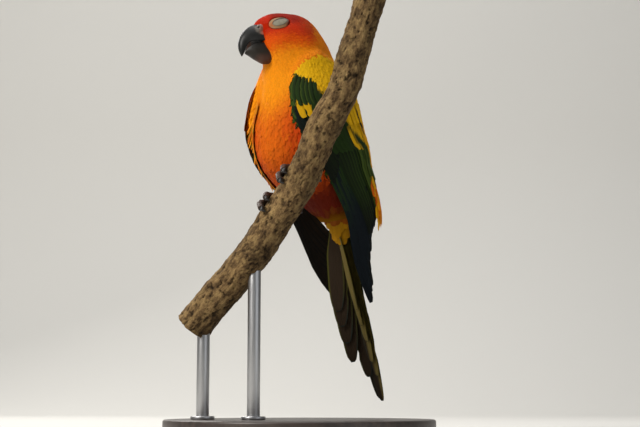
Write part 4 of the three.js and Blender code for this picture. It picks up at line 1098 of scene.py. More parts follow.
def tailCoverts():
    rng = np.random.default_rng(32)
    t = vaneStations(9)
    middle, out, half, colour = [], [], [], []
    for first, tip, deepRoot, deepTip, spread, count, facing in tail["covertRows"]:
        for share in np.linspace(-1, 1, count):
            aside = spread * share + rng.normal(0, 0.3) + (tail["underAside"] if facing < 0 else 0)
            height = mix(first, tip + rng.uniform(-3, 3) + 5 * share**2, t)
            place, up, back = spineAt(height)
            drop = (1 - math.sqrt(1 - min(abs(aside) / 16, 1) ** 2)) * 15
            deep = mix(deepRoot, deepTip, t) - facing * drop
            roll = math.radians(aside * 4.2)
            middle.append(place + leftWay * (aside * mix(1, 0.85, t))[:, None] + back * deep[:, None])
            out.append(back * facing * math.cos(roll) + leftWay * math.sin(roll))
            half.append(rng.uniform(3, 3.7) * vaneWidth(t, 0.35))
            if facing > 0:
                green = rng.uniform(0, 0.9) * (first < -50)
                c = mix(tailTint["overCovert"], tailTint["overCovertGreen"], green)
            else:
                c = mix(tailTint["underCovertRed"], tailTint["underCovert"], 0.25 + 0.75 * (first < -50))
            colour.append(c * rng.uniform(0.85, 1.12))
    middle, half = np.array(middle), np.array(half)
    onward, out = squared(middle, np.array(out))
    colour = np.array(colour)[:, None, None]
    return featherMesh("tail_coverts", {
        "middle": middle, "out": out, "across": np.cross(onward, out), "before": half, "after": half,
        "camber": half * 0.2, "thick": 0.2, "ridge": 0.05,
        # painted shade: darker towards the root
        "colour": colour * mix(0.7, 1.05, t)[:, None, None], "under": colour * 0.7,
    }, 5)


pieces["tail_feathers"] = tailMesh()
pieces["tail_coverts"] = tailCoverts()
print("tail ready")

# bill: two horn sheaths, arched over their ridges, and the bare cere with the nostrils

bill = {
    "upper": [  # ridge forward, up; cutting edge forward, up; half width
        (8, 8, 8, -4, 6.6), (12, 9.3, 12, -4.1, 6.8), (16, 9.8, 15.5, -4.4, 6.8),
        (20.5, 9.3, 18.8, -4.4, 6.4), (25.2, 6.9, 21.6, -4.2, 5.7), (29.2, 2.3, 24, -4.7, 4.8),
        (31.1, -3, 25.8, -6.3, 3.8), (31.1, -7.6, 27.2, -8.9, 2.7), (30.3, -10.5, 28.3, -10.9, 1.5),
        (29.7, -12.4, 29, -12.5, 0.5),
    ],
    "lower": [  # cutting edge, then keel
        (9, -5.2, 9, -16.2, 5.4), (13, -5.2, 13, -17.4, 5.5), (16.5, -5.3, 16.4, -17.4, 5.4),
        (20, -5.6, 19.6, -15.7, 4.9), (23, -6.4, 22.8, -13.5, 4.1), (25.1, -7.6, 25, -11.7, 3.1),
        (26.6, -8.9, 26.5, -10.9, 2), (27.3, -9.8, 27.2, -10.4, 0.9),
    ],
    "rings": 70,
    "around": 40,
    "cere": ((16.1, 3.8, 4.3), (3.6, 3.6, 4)),
    "nostril": (18.4, 6.4, 4.9),
    "voxel": 0.22,
    "smoothing": 3,
}
hornTint = tints({
    "horn": "0d0e0c", "worn": "34332f", "base": "1d1b17", "lower": "211c15", "skinSide": "5a3626",
    "cere": "5e564c", "cereRed": "96503a", "nostril": "1d1512",
})


def shell(name, rings):  # a closed body through rings of places, from a grid whose sides meet
    count, around = rings.shape[:2]
    nothingSelected()
    bpy.ops.mesh.primitive_grid_add(x_subdivisions=around, y_subdivisions=count - 1, size=1)
    body = bpy.context.object
    body.name = body.data.name = name
    setPoints(body.data, np.concatenate([rings, rings[:, :1]], 1).reshape(-1, 3) * mm)
    closeUp(body, 0.001)
    body.data.shade_smooth()
    return body


def ball(name, middle, axes, size):
    nothingSelected()
    bpy.ops.mesh.primitive_uv_sphere_add(segments=32, ring_count=16, radius=1)
    body = bpy.context.object
    body.name = body.data.name = name
    setPoints(body.data, (middle + points(body.data) @ (np.asarray(axes) * np.asarray(size)[:, None])) * mm)
    return body


def sheath(rows, upper):
    f0, u0, f1, u1, half = alongTable(rows, np.linspace(0, 1, bill["rings"])).T[:, :, None]
    if not upper:
        f0, u0, f1, u1 = f1, u1, f0, u0
    a = np.linspace(0, np.pi, bill["around"] * 2 // 3)
    rise = np.sin(a) ** 0.75
    arch = np.stack([mix(f1, f0, rise), half * np.cos(a) * (1 + 0.12 * np.sin(a)), mix(u1, u0, rise)], -1)
    v = np.linspace(-1, 1, bill["around"] // 3 + 2)[1:-1]
    hollow = 0.5 * (1 - v**2) * (1 if upper else -1) * np.minimum(half, 2) / 2
    floorLine = np.stack([f1 + 0 * v, half * v, u1 + hollow], -1)
    f, l, u = np.moveaxis(np.concatenate([arch, floorLine], 1), -1, 0)
    return shell("sheath", headPoint(f, l, u))


def upperBill():
    (f, l, u), size = bill["cere"]
    bumps = [ball("cere", headPoint(f, l * side, u), headAxes, size) for side in (1, -1)]
    parts = [sheath(bill["upper"], True)] + bumps
    piece = remeshed(parts, "bill_upper_horn", 0, bill["voxel"], bill["smoothing"])
    co = points(piece.data) / mm
    f, l, u = headSteps(co).T
    hole = np.linalg.norm(np.stack([f, np.abs(l), u], -1) - np.array(bill["nostril"]), axis=1)
    co = co - normals(piece.data) * (0.9 * ease(-hole, -1.3, -0.4))[:, None]
    setPoints(piece.data, co * mm)
    horn = layers(
        hornTint, "horn", f.shape,
        ("worn", ease(-np.abs(l), -2.2, -0.4) * ease(f, 20, 29) * 0.3), ("base", ease(-f, -20, -14) * 0.6))
    mottle = fieldNoise(co, 2.2, 3)
    cere = ease(np.abs(l), 2, 3.6) * ease(-np.hypot(f - 16.2, u - 4) + mottle * 0.7, -5, -3.2)
    bare = layers(hornTint, "cere", f.shape, ("cereRed", ease(-f, -18.6, -15.6)))
    c = over(horn, bare, cere * (0.8 + 0.3 * mottle))
    paint(piece, over(c, hornTint["nostril"], ease(-hole, -1.05, -0.6)))
    return piece


def lowerBill():
    piece = remeshed([sheath(bill["lower"], False)], "bill_lower_horn", 0, bill["voxel"], bill["smoothing"])
    co = points(piece.data) / mm
    f, l, u = headSteps(co).T
    paint(piece, layers(
        hornTint, "lower", f.shape, ("horn", ease(u, -11, -6) * 0.7),
        ("skinSide", ease(-u, 11.5, 16) * ease(-f, -23, -18) * 0.55)))
    return piece


pieces["bill_upper_horn"] = upperBill()
pieces["bill_lower_horn"] = lowerBill()

# closed eyes: the two lids over the ball, in a ring of bare wrinkled skin

lids = {
    "size": (4.8, 2.9),  # half length and half height of the lids
    "ring": (6.5, 4.3),
    "rise": 0.75,
    "ringSunk": 0.6,
    "tilt": 9,  # degrees, the rear corner up
    "back": 0.9,  # the lids sit this far back in their ring
    "slit": 0.74,  # the lower lid is drawn up to here, as a share of the half height
    "grid": 64,
}
lidTint = tints({
    "lid": "7d7867", "lidDark": "565145", "line": "1e1812",
    "rim": "96582c", "rimPale": "8b6c4a", "rimRed": "6a2412",
})


def lidPiece(side, name):
    nothingSelected()
    bpy.ops.mesh.primitive_grid_add(x_subdivisions=lids["grid"], y_subdivisions=lids["grid"], size=2)
    piece = bpy.context.object
    piece.name = piece.data.name = name
    x, y = points(piece.data)[:, :2].T
    x, y = x * np.sqrt(1 - y * y / 2), y * np.sqrt(1 - x * x / 2)  # the square becomes a disc
    out = unit(headLeft * side + aheadWay * 0.28)
    ahead = unit(aheadWay - out * (aheadWay @ out))
    up = np.cross(ahead, out) * (1 if side > 0 else -1)
    eyeCentre = headPoint(bird["eye"][0], 0, bird["eye"][1])[None]
    middle = eyeCentre + headLeft * side * reach(eyeCentre, headLeft[None] * side, outsideBody, 40)
    a, b = x * lids["ring"][0], y * lids["ring"][1]
    place = middle - out * 12 + ahead * a[:, None] + up * b[:, None]
    ground = reach(place, np.broadcast_to(out, place.shape), outsideBody, 40)
    tilt = math.radians(lids["tilt"])
    a, b = (a + lids["back"]) * math.cos(tilt) - b * math.sin(tilt), b * math.cos(tilt) + a * math.sin(tilt)
    inLid = np.hypot(a / lids["size"][0], b / lids["size"][1])
    ring = np.hypot(x, y)
    dome = lids["rise"] * np.sqrt(np.clip(1 - inLid**2, 0, 1))
    edge = -lids["ringSunk"] * ease(inLid, 1.02, 1.35)
    fold = 0.09 * np.cos(inLid * 22) * ease(inLid, 0.45, 0.8) * ease(-inLid, -1.12, -1)
    slit = lids["slit"] * lids["size"][1] * np.sqrt(np.clip(1 - (a / (lids["size"][0] * 0.98)) ** 2, 0, 1))
    line = np.exp(-((b - slit) / 0.4) ** 2) * ease(-np.abs(a), -5, -4.5)
    crease = np.exp(-((inLid - 1.0) / 0.05) ** 2)
    bead = 0.05 * np.sin(np.arctan2(b, a) * 46) * ease(inLid, 1.02, 1.12) * ease(-ring, -0.97, -0.9)
    high = dome + edge + fold - 0.42 * line - 0.14 * crease + bead - 0.3 * ease(ring, 0.9, 1)
    setPoints(piece.data, (place + out * (ground + high)[:, None]) * mm)
    mottle = fieldNoise(np.stack([a, b, b], -1), 1.3, 3)
    c = layers(lidTint, "lid", a.shape, ("lidDark", np.clip(ease(b, -1, 2.6) * 0.5 + mottle * 0.5, 0, 1)))
    rim = layers(
        lidTint, "rim", a.shape,
        ("rimPale", ease(np.abs(b), 0.8, 2.8)), ("rimRed", ease(-a, 2.5, 5)))
    c = over(c, rim, ease(inLid + mottle * 0.05, 0.96, 1.08))
    c = over(c, lidTint["lidDark"], crease * 0.6)
    paint(piece, over(c, lidTint["line"], line))
    shell = piece.modifiers.new("shell", "SOLIDIFY")
    shell.thickness = 1.6 * mm
    shell.offset = -1
    only(piece)
    bpy.ops.object.mode_set(mode="EDIT")
    bpy.ops.mesh.select_all(action="SELECT")
    bpy.ops.mesh.normals_make_consistent(inside=False)
    bpy.ops.object.mode_set(mode="OBJECT")
    outward = np.mean([Vector(out) @ face.normal for face in piece.data.polygons])
    if outward < 0:
        piece.data.flip_normals()
    applyAll(piece)
    piece.data.shade_smooth()
    return piece


pieces["lids_left"] = lidPiece(1, "lids_left")
pieces["lids_right"] = lidPiece(-1, "lids_right")
print("head parts ready")

# the branch

perch = {
    "points": [
        (-66.5, -7, 67), (-52.5, -13, 83.5), (-38.5, -20, 99.5), (-23.5, -28, 117.5), (-15, -33, 130),
        (-7.5, -38, 141), (0.5, -44, 152.5), (7, -50.5, 165), (14.5, -58, 183.5), (26.5, -64, 205.5),
        (35.5, -69, 234.5), (44.5, -74, 266),
    ],
    "radius": (11.8, 9.3),
    "knots": [(0.27, 200, 1.7, 9), (0.36, 30, 1.2, 7), (0.64, 250, 1.6, 8), (0.82, 120, 1, 7)],
    "rings": 420,
    "sides": 120,
    "inset": 0.35,  # the bark's mean surface lies this far inside the solid's
}


def centripetalLine(places, each):
    rows = extended(places)
    line = []
    for i in range(len(rows) - 3):
        a, b, c, d = rows[i:i + 4]
        d0, d1, d2 = (math.sqrt(np.linalg.norm(q - p)) for p, q in ((a, b), (b, c), (c, d)))
        m1 = ((b - a) / d0 - (c - a) / (d0 + d1) + (c - b) / d1) * d1
        m2 = ((c - b) / d1 - (d - b) / (d1 + d2) + (d - c) / d2) * d1
        t = np.linspace(0, 1, each, endpoint=False)[:, None]
        line.append(hermite(b, c, m1, m2, t))
    return np.vstack(line + [rows[-2:-1]])


perchRow = centripetalLine(perch["points"], 60)
perchRun = runOf(perchRow)
perchLength = perchRun[-1]


def perchAxes(t):
    def at(u):
        return np.stack([np.interp(u * perchLength, perchRun, perchRow[:, k]) for k in range(3)], -1)
    t = np.asarray(t, float)
    place = at(t)
    ahead = unit(at(np.minimum(t + 0.004, 1)) - at(np.maximum(t - 0.004, 0)))
    outward = np.array([0, 1, 0.25])
    outward = unit(outward - ahead * (ahead @ outward)[..., None])
    return place, ahead, outward, np.cross(ahead, outward)


def perchThick(t):
    return mix(*perch["radius"], np.clip(t, 0, 1) ** 0.8)


def perchSurface(t, angle, step, off):
    s = t + np.asarray(step) / perchLength
    place, ahead, outward, across = perchAxes(s)
    a = np.radians(angle)[..., None]
    return place + (outward * np.cos(a) + across * np.sin(a)) * (perchThick(s) + off)[..., None]


def branch():
    rings, sides = perch["rings"], perch["sides"]
    t = np.linspace(0, 1, rings)
    place, ahead, outward, across = perchAxes(t)
    a = np.linspace(0, 2 * np.pi, sides, endpoint=False)
    way = outward[:, None] * np.cos(a)[:, None] + across[:, None] * np.sin(a)[:, None]
    radius = np.broadcast_to(perchThick(t)[:, None], (rings, sides)) - perch["inset"]
    straight = np.stack([np.cos(a) * radius, np.sin(a) * radius,
                         np.broadcast_to((t * perchLength)[:, None], radius.shape)], -1).reshape(-1, 3)
    knobs = np.zeros((rings, sides))
    for at, side, high, spread in perch["knots"]:
        turned = np.abs((np.degrees(a) - side + 540) % 360 - 180)
        d = np.hypot(((t - at) * perchLength)[:, None], np.radians(turned)[None] * perchThick(t)[:, None])
        knobs += high * np.exp(-((d / spread) ** 2) * 1.6) - 0.5 * high * np.exp(-((d / (0.3 * spread)) ** 2))
    swell = fieldNoise(straight * np.array([1, 1, 0.5]), 14, 2) * 0.8
    rough = fieldNoise(straight * np.array([1, 1, 0.6]), 4.5, 4) * 0.6
    crack = fieldNoise(straight * np.array([1, 1, 0.3]) + 50, 4, 2)
    crack = np.exp(-((crack / 0.07) ** 2)) * ease(fieldNoise(straight + 90, 16, 2), -0.1, 0.3)
    pit = ease(fieldNoise(straight * np.array([1, 1, 0.8]) + 30, 2.4, 3), 0.34, 0.62)
    flake = fieldNoise(straight * np.array([1, 1, 0.7]) + 20, 2.1, 2)
    rough += 0.2 * np.sign(flake) * np.sqrt(np.abs(flake)) - 0.6 * crack - 0.7 * pit
    radius = radius + knobs + np.clip(swell + rough, -1.7, 0.75).reshape(rings, sides)
    body = place[:, None] + way * radius[..., None]
    # the sawn ends close in rings to their middles
    inward = [0.975, 0.9, 0.7, 0.45, 0.2, 0.02]
    first = [place[0] + (body[0] - place[0]) * k for k in reversed(inward)]
    last = [place[-1] + (body[-1] - place[-1]) * k for k in inward]
    allRings = np.concatenate([np.array(first), body, np.array(last)])
    n = len(allRings)
    piece = ringMesh("branch", allRings)
    extra = len(inward)
    full = np.concatenate([np.repeat(straight[:sides][None], extra, 0).reshape(-1, 3), straight,
                           np.repeat(straight[-sides:][None], extra, 0).reshape(-1, 3)])
    shares = np.concatenate([
        np.repeat(inward[::-1], sides), np.ones(len(straight)), np.repeat(inward, sides)])
    full[:, :2] *= shares[:, None]
    layer = piece.data.attributes.new("straight", "FLOAT_VECTOR", "POINT")
    layer.data.foreach_set("vector", full.astype(np.float32).ravel())
    knotDark = ease(knobs.ravel(), 0.25, 1.2) * (0.3 + 0.7 * ease(fieldNoise(straight + 40, 2, 2), -0.2, 0.3))
    dark = np.clip(1 - 0.45 * crack - 0.5 * pit + 0.3 * rough - 0.5 * knotDark, 0.2, 1.1) * (
        1 + 0.3 * fieldNoise(straight * np.array([1, 1, 0.5]) + 70, 17, 3))
    # painted shade: darker on the side that faces away from the key light
    dark = dark * mix(0.66, 0.93, ease(-way[..., 0].ravel(), -0.75, 0.1))
    dark = np.concatenate([np.ones(extra * sides), dark, np.ones(extra * sides)])
    paint(piece, np.repeat(dark[:, None], 3, 1))
    ring = np.repeat(np.arange(n - 1), sides)
    isEnd = (ring < extra) | (ring >= n - 1 - extra)
    piece.data.materials.append(None)
    piece.data.materials.append(None)
    piece.data.polygons.foreach_set("material_index", isEnd.astype(np.int32))
    closeUp(piece)
    return piece


pieces["branch"] = branch()
print("branch", len(pieces["branch"].data.polygons), "faces")

# feet: two toes forward round the branch and two back, with scutes, and separate claws

feet = {
    "toes": [  # angle and step along the branch where a toe starts and ends, thickness
        ((12, 2), (109, 3.7), 2.6), ((12, -2), (122, -3), 2.65),
        ((-12, 2), (-52, 5), 2), ((-10, -2), (-41, -4), 1.9),
    ],
    "clawTurn": 16,
    "left": {"side": 1, "at": 0.475, "thighAngle": -72, "thighHeight": -22},
    "right": {"side": -1, "at": 0.385, "thighAngle": -66, "thighHeight": -26},
    "bare": 7,
    "scute": 1.25,  # from one scute to the next along a toe
    "voxel": 0.3,
}
footTint = tints({"scute": "43332a", "groove": "1d1510", "worn": "584a3e"})


def tube(name, places, radii, sides):
    places, radii = np.asarray(places, float), np.asarray(radii, float)
    onward = unit(np.gradient(places, axis=0))
    side = np.cross(onward[0], [0.3, 0.2, 1])
    rings = []
    a = np.linspace(0, 2 * np.pi, sides, endpoint=False)
    for p, r, t in zip(places, radii, onward):
        side = unit(side - t * (side @ t))
        rings.append(p + r * (np.cos(a)[:, None] * side + np.sin(a)[:, None] * np.cross(t, side)))
    obj = ringMesh(name, np.array(rings))
    closeUp(obj)
    return obj


def footPieces(which):
    foot = feet[which]
    at = foot["at"]
    heel = perchSurface(at, np.array(0.0), 0, 2.4)
    place, up, back = spineAt(foot["thighHeight"])
    a = math.radians(foot["thighAngle"])
    hip = place + leftWay * foot["side"] * 20 * math.cos(a) + back * 20 * math.sin(a)
    way = unit(hip - heel)
    long = np.linalg.norm(hip - heel)
    buried = reach(hip[None], -way[None], outsideBody, long)[0]
    bare = min(feet["bare"], (long - buried) * 0.4)
    parts, claws, lines = [], [], []
    for (a0, s0), (a1, s1), thick in feet["toes"]:
        t = np.linspace(0, 1, 25)
        pads = 1 + 0.1 * np.cos(t * np.pi * 6)
        line = perchSurface(at, mix(a0, a1, t), mix(s0, s1, t**0.8), thick * 0.95)
        parts.append(tube("toe", line, thick * (1 - 0.28 * t) * pads, 16))
        lines.append(line)
        t = np.linspace(-0.18, 1, 16)
        bend = np.clip(t, 0, 1)
        off = thick * (0.85 + 0.5 * np.sin(np.pi * bend) - 0.55 * bend)
        line = perchSurface(at, a1 + math.copysign(feet["clawTurn"], a1 - a0) * t, np.full(16, s1), off)
        claws.append(tube("claw", line, thick * 0.6 * (1 - bend) ** 0.8 + 0.12, 14))
    lines.append(heel + way * np.linspace(0, bare + 2, 12)[:, None])
    parts.append(tube("shank", lines[-1], 2.2 + 0.25 * np.cos(np.linspace(0, np.pi * 2, 12)), 18))
    place, ahead, outward, across = perchAxes(at)
    nothingSelected()
    bpy.ops.mesh.primitive_uv_sphere_add(segments=24, ring_count=16, radius=1)
    palm = bpy.context.object
    palmAxes = np.stack([ahead * 4.2, outward * 2.2, across * 3.6])
    setPoints(palm.data, (heel + points(palm.data) @ palmAxes) * mm)
    foot = remeshed(parts + [palm], "foot_" + which + "_skin", 0, feet["voxel"], 3)
    # scutes run across the toes and the shank
    co = points(foot.data) / mm
    share = np.linspace(0, 1, 120)
    dense = [np.stack([np.interp(share, np.linspace(0, 1, len(row)), row[:, k]) for k in range(3)], -1)
             for row in lines]
    nearest = np.full(len(co), 1e9)
    along = np.zeros(len(co))
    for line in dense:
        run = runOf(line)
        d = np.linalg.norm(co[:, None] - line[None], axis=-1)
        k = d.argmin(1)
        better = d[np.arange(len(co)), k] < nearest
        nearest = np.where(better, d[np.arange(len(co)), k], nearest)
        along = np.where(better, run[k], along)
    wave = np.abs(np.sin(along * np.pi / feet["scute"]))
    groove = 1 - wave**0.5
    setPoints(foot.data, (co - normals(foot.data) * (0.16 * groove)[:, None]) * mm)
    paint(foot, layers(
        footTint, "scute", groove.shape, ("groove", groove),
        ("worn", ease(fieldNoise(co, 1.6, 2), 0, 0.5) * 0.45)))
    claw = joined(claws, "claws_" + which)
    claw.data.shade_smooth()
    return foot, claw


for which in ("left", "right"):
    pieces["foot_" + which + "_skin"], pieces["claws_" + which] = footPieces(which)
print("feet ready")

# the display stand

stand = {"radius": 85, "height": 10, "edge": 1.5, "rod": 4, "rods": {"lower": 0.045, "upper": 0.26},
         "collar": (7.5, 2.2)}


def turnedPiece(name, radius, low, high, at, edge, vertices):
    nothingSelected()
    bpy.ops.mesh.primitive_cylinder_add(vertices=vertices, radius=radius * mm, depth=(high - low) * mm,
                                        location=(at[0] * mm, at[1] * mm, (low + high) / 2 * mm))
    piece = bpy.context.object
    piece.name = piece.data.name = name
    placeInMesh(piece)
    bevel = piece.modifiers.new("edge", "BEVEL")
    bevel.width = edge * mm
    bevel.segments = 4
    bevel.limit_method = "ANGLE"
    applyAll(piece)
    bpy.ops.object.shade_smooth_by_angle(angle=math.radians(40))
    return piece


pieces["base_disc"] = turnedPiece(
    "base_disc", stand["radius"], 0, stand["height"], (0, 0), stand["edge"], 160)
collars = []
for which, at in stand["rods"].items():
    top = perchAxes(at)[0]
    pieces["rod_" + which] = turnedPiece("rod_" + which, stand["rod"], stand["height"] - 1,
                                         top[2] - 6, top, 0.5, 64)
    collars.append(turnedPiece("collar_" + which, stand["collar"][0], stand["height"],
                               stand["height"] + stand["collar"][1], top, 0.7, 64))
pieces["rod_collars"] = joined(collars, "rod_collars")
print("stand ready")

# materials


def featherFinish(name, barb, depth):
    # a vane is matte and silky: its barbs leave the shaft at a slant on both sides as fine ribs;
    # they are drawn about twice as wide as the real ones, which are too fine for a bake
    feather, surface = newMaterial(name)
    marksAndShade = addNode(feather, "Attribute", {"attribute_name": "markingsAndShade"})
    vane = addNode(feather, "UVMap", {"uv_map": "vane"})
    parts = addNode(feather, "SeparateXYZ", None, {0: vane})
    across = addNode(feather, "Math", {"operation": "ABSOLUTE"}, {0: parts})
    slant = addNode(feather, "Math", {"operation": "MULTIPLY_ADD"}, {
        0: across, 1: -1.1, 2: parts.outputs["Y"]})
    turn = addNode(feather, "Math", {"operation": "MULTIPLY"}, {0: slant, 1: 2 * math.pi / barb})
    rib = addNode(feather, "Math", {"operation": "SINE"}, {0: turn})
    shaft = addNode(feather, "MapRange", None, {
        "Value": across, "From Min": 0.0, "From Max": 0.45, "To Min": 1.5, "To Max": 0.0})
    high = addNode(feather, "Math", {"operation": "ADD"}, {0: shaft, 1: rib})
    bump = addNode(feather, "Bump", None, {"Height": high, "Strength": 0.4, "Distance": depth * mm})
    shade = addNode(feather, "MapRange", None, {
        "Value": rib, "From Min": -1.0, "From Max": 1.0, "To Min": 0.88, "To Max": 1.0})
    grey = addNode(feather, "CombineColor", None, {0: shade, 1: shade, 2: shade})
    colour = addNode(feather, "Mix", {"data_type": "RGBA", "blend_type": "MULTIPLY"}, {
        0: 1.0, 6: marksAndShade, 7: grey})
    setInputs(surface, {
        "Base Color": colour.outputs[2], "Roughness": 0.72, "Specular IOR Level": 0.1, "Normal": bump})
    return feather


def downFinish():
    # the down between the feathers: matte, its colours darker than their tips as painted shade in the gaps
    down, surface = newMaterial("down_under_feathers")
    marksAndShade = addNode(down, "Attribute", {"attribute_name": "markingsAndShade"})
    setInputs(surface, {
        "Base Color": marksAndShade, "Roughness": 0.95, "Specular IOR Level": 0.05})
    return down


def bareSkinFinish(name, size, depth, rough):
    # thin bare skin: fine creased grain, a dull shine on its high places
    bare, surface = newMaterial(name)
    marksAndShade = addNode(bare, "Attribute", {"attribute_name": "markingsAndShade"})
    place = addNode(bare, "TexCoord")
    grain = addNode(bare, "TexNoise", None, {
        "Vector": place.outputs["Object"], "Scale": 1 / (size * mm), "Detail": 3.0, "Roughness": 0.6})
    bump = addNode(bare, "Bump", None, {"Height": grain, "Strength": 0.6, "Distance": depth * mm})
    setInputs(surface, {
        "Base Color": marksAndShade, "Roughness": rough, "Specular IOR Level": 0.3, "Normal": bump})
    return bare


def billFinish():
    # worn horn: a soft sheen that breaks up on fine growth lines and scratches
    horn, surface = newMaterial("bill_horn")
    marksAndShade = addNode(horn, "Attribute", {"attribute_name": "markingsAndShade"})
    place = addNode(horn, "TexCoord")
    grain = addNode(horn, "TexNoise", None, {
        "Vector": place.outputs["Object"], "Scale": 1 / (1.8 * mm), "Detail": 4.0, "Roughness": 0.6})
    bump = addNode(horn, "Bump", None, {"Height": grain, "Strength": 0.3, "Distance": 0.1 * mm})
    rough = addNode(horn, "MapRange", None, {
        "Value": grain, "From Min": 0.3, "From Max": 0.7, "To Min": 0.36, "To Max": 0.55})
    setInputs(surface, {
        "Base Color": marksAndShade, "Roughness": rough, "Specular IOR Level": 0.27, "Normal": bump})
    return horn


def clawFinish():
    # dark horn, polished by use
    claw, surface = newMaterial("claw_horn")
    setInputs(surface, {"Base Color": rgba("1b1612"), "Roughness": 0.38})
    return claw


def barkFinish():
    # weathered bark: grey-brown, pale where the outer layer has flaked off, dark in its pits; the painted
    # shade on one side comes in with the vertex colours
    bark, surface = newMaterial("bark")
    marksAndShade = addNode(bark, "Attribute", {"attribute_name": "markingsAndShade"})
    place = addNode(bark, "Attribute", {"attribute_name": "straight"})
    stretched = addNode(bark, "VectorMath", {"operation": "MULTIPLY"}, {
        0: place.outputs["Vector"], 1: (1, 1, 0.55)})
    patches = addNode(bark, "TexNoise", None, {
        "Vector": stretched, "Scale": 1 / 3.4, "Detail": 6.0, "Roughness": 0.7})
    colour = addNode(bark, "ValToRGB", None, {"Fac": patches}, [
        (0.32, "35281a"), (0.43, "5f4a30"), (0.52, "7d6442"), (0.6, "93794f"), (0.74, "6d5b40")])
    grain = addNode(bark, "TexNoise", None, {
        "Vector": stretched, "Scale": 1 / 0.75, "Detail": 4.0, "Roughness": 0.75})
    shade = addNode(bark, "MapRange", None, {
        "Value": grain, "From Min": 0.3, "From Max": 0.66, "To Min": 0.6, "To Max": 1.1})
    grey = addNode(bark, "CombineColor", None, {0: shade, 1: shade, 2: shade})
    grained = addNode(bark, "Mix", {"data_type": "RGBA", "blend_type": "MULTIPLY"}, {
        0: 1.0, 6: colour.outputs["Color"], 7: grey})
    pittedAndShaded = addNode(bark, "Mix", {"data_type": "RGBA", "blend_type": "MULTIPLY"}, {
        0: 1.0, 6: grained.outputs[2], 7: marksAndShade})
    bump = addNode(bark, "Bump", None, {"Height": grain, "Strength": 0.8, "Distance": 0.4 * mm})
    setInputs(surface, {
        "Base Color": pittedAndShaded.outputs[2], "Roughness": 0.9, "Specular IOR Level": 0.15, "Normal": bump})
    return bark


def cutWoodFinish():
    # a clean sawn end: pale, with growth rings round the pith
    wood, surface = newMaterial("cut_wood")
    place = addNode(wood, "Attribute", {"attribute_name": "straight"})
    flat = addNode(wood, "VectorMath", {"operation": "MULTIPLY"}, {0: place.outputs["Vector"], 1: (1, 1, 0)})
    fromPith = addNode(wood, "VectorMath", {"operation": "LENGTH"}, {0: flat})
    turn = addNode(wood, "Math", {"operation": "MULTIPLY"}, {
        0: fromPith.outputs["Value"], 1: 2 * math.pi / 1.5})
    ring = addNode(wood, "Math", {"operation": "SINE"}, {0: turn})
    share = addNode(wood, "MapRange", None, {"Value": ring, "From Min": -1.0, "From Max": 1.0})
    colour = addNode(wood, "ValToRGB", None, {"Fac": share}, [(0, "96744a"), (0.6, "bd9d6e"), (1, "c8ac80")])
    setInputs(surface, {
        "Base Color": colour, "Roughness": 0.8, "Specular IOR Level": 0.2})
    return wood


def baseFinish():
    # dark stained wood under satin varnish: the grain shows as faint long streaks
    stained, surface = newMaterial("stained_wood")
    place = addNode(stained, "TexCoord")
    stretched = addNode(stained, "VectorMath", {"operation": "MULTIPLY"}, {
        0: place.outputs["Object"], 1: (40, 420, 200)})
    grain = addNode(stained, "TexNoise", None, {
        "Vector": stretched, "Scale": 1.0, "Detail": 5.0, "Roughness": 0.6})
    colour = addNode(stained, "ValToRGB", None, {"Fac": grain}, [
        (0.3, "2b2421"), (0.55, "3d332e"), (0.75, "4b3f37")])
    bump = addNode(stained, "Bump", None, {"Height": grain, "Strength": 0.2, "Distance": 0.1 * mm})
    setInputs(surface, {
        "Base Color": colour, "Roughness": 0.4, "Normal": bump})
    return stained


def steelFinish():
    # satin steel, drawn along the rod: its light is broken up by fine upright lines
    steel, surface = newMaterial("satin_steel")
    place = addNode(steel, "TexCoord")
    stretched = addNode(steel, "VectorMath", {"operation": "MULTIPLY"}, {
        0: place.outputs["Object"], 1: (2200, 2200, 60)})
    grain = addNode(steel, "TexNoise", None, {"Vector": stretched, "Scale": 1.0, "Detail": 3.0})
    rough = addNode(steel, "MapRange", None, {
        "Value": grain, "From Min": 0.3, "From Max": 0.7, "To Min": 0.28, "To Max": 0.42})
    setInputs(surface, {
        "Base Color": rgba("b9b9ba"), "Metallic": 1.0, "Roughness": rough})
    return steel


finishes = {
    "small": featherFinish("small_feathers", 0.55, 0.1),
    "flight": featherFinish("flight_feathers", 0.8, 0.14),
    "down": downFinish(),
    "lid": bareSkinFinish("eyelid_skin", 0.7, 0.12, 0.6),
    "foot": bareSkinFinish("foot_scales", 0.5, 0.1, 0.55),
    "horn": billFinish(),
    "claw": clawFinish(),
    "bark": barkFinish(),
    "cut": cutWoodFinish(),
    "base": baseFinish(),
    "steel": steelFinish(),
}


# what each piece stands for, and its place in the record

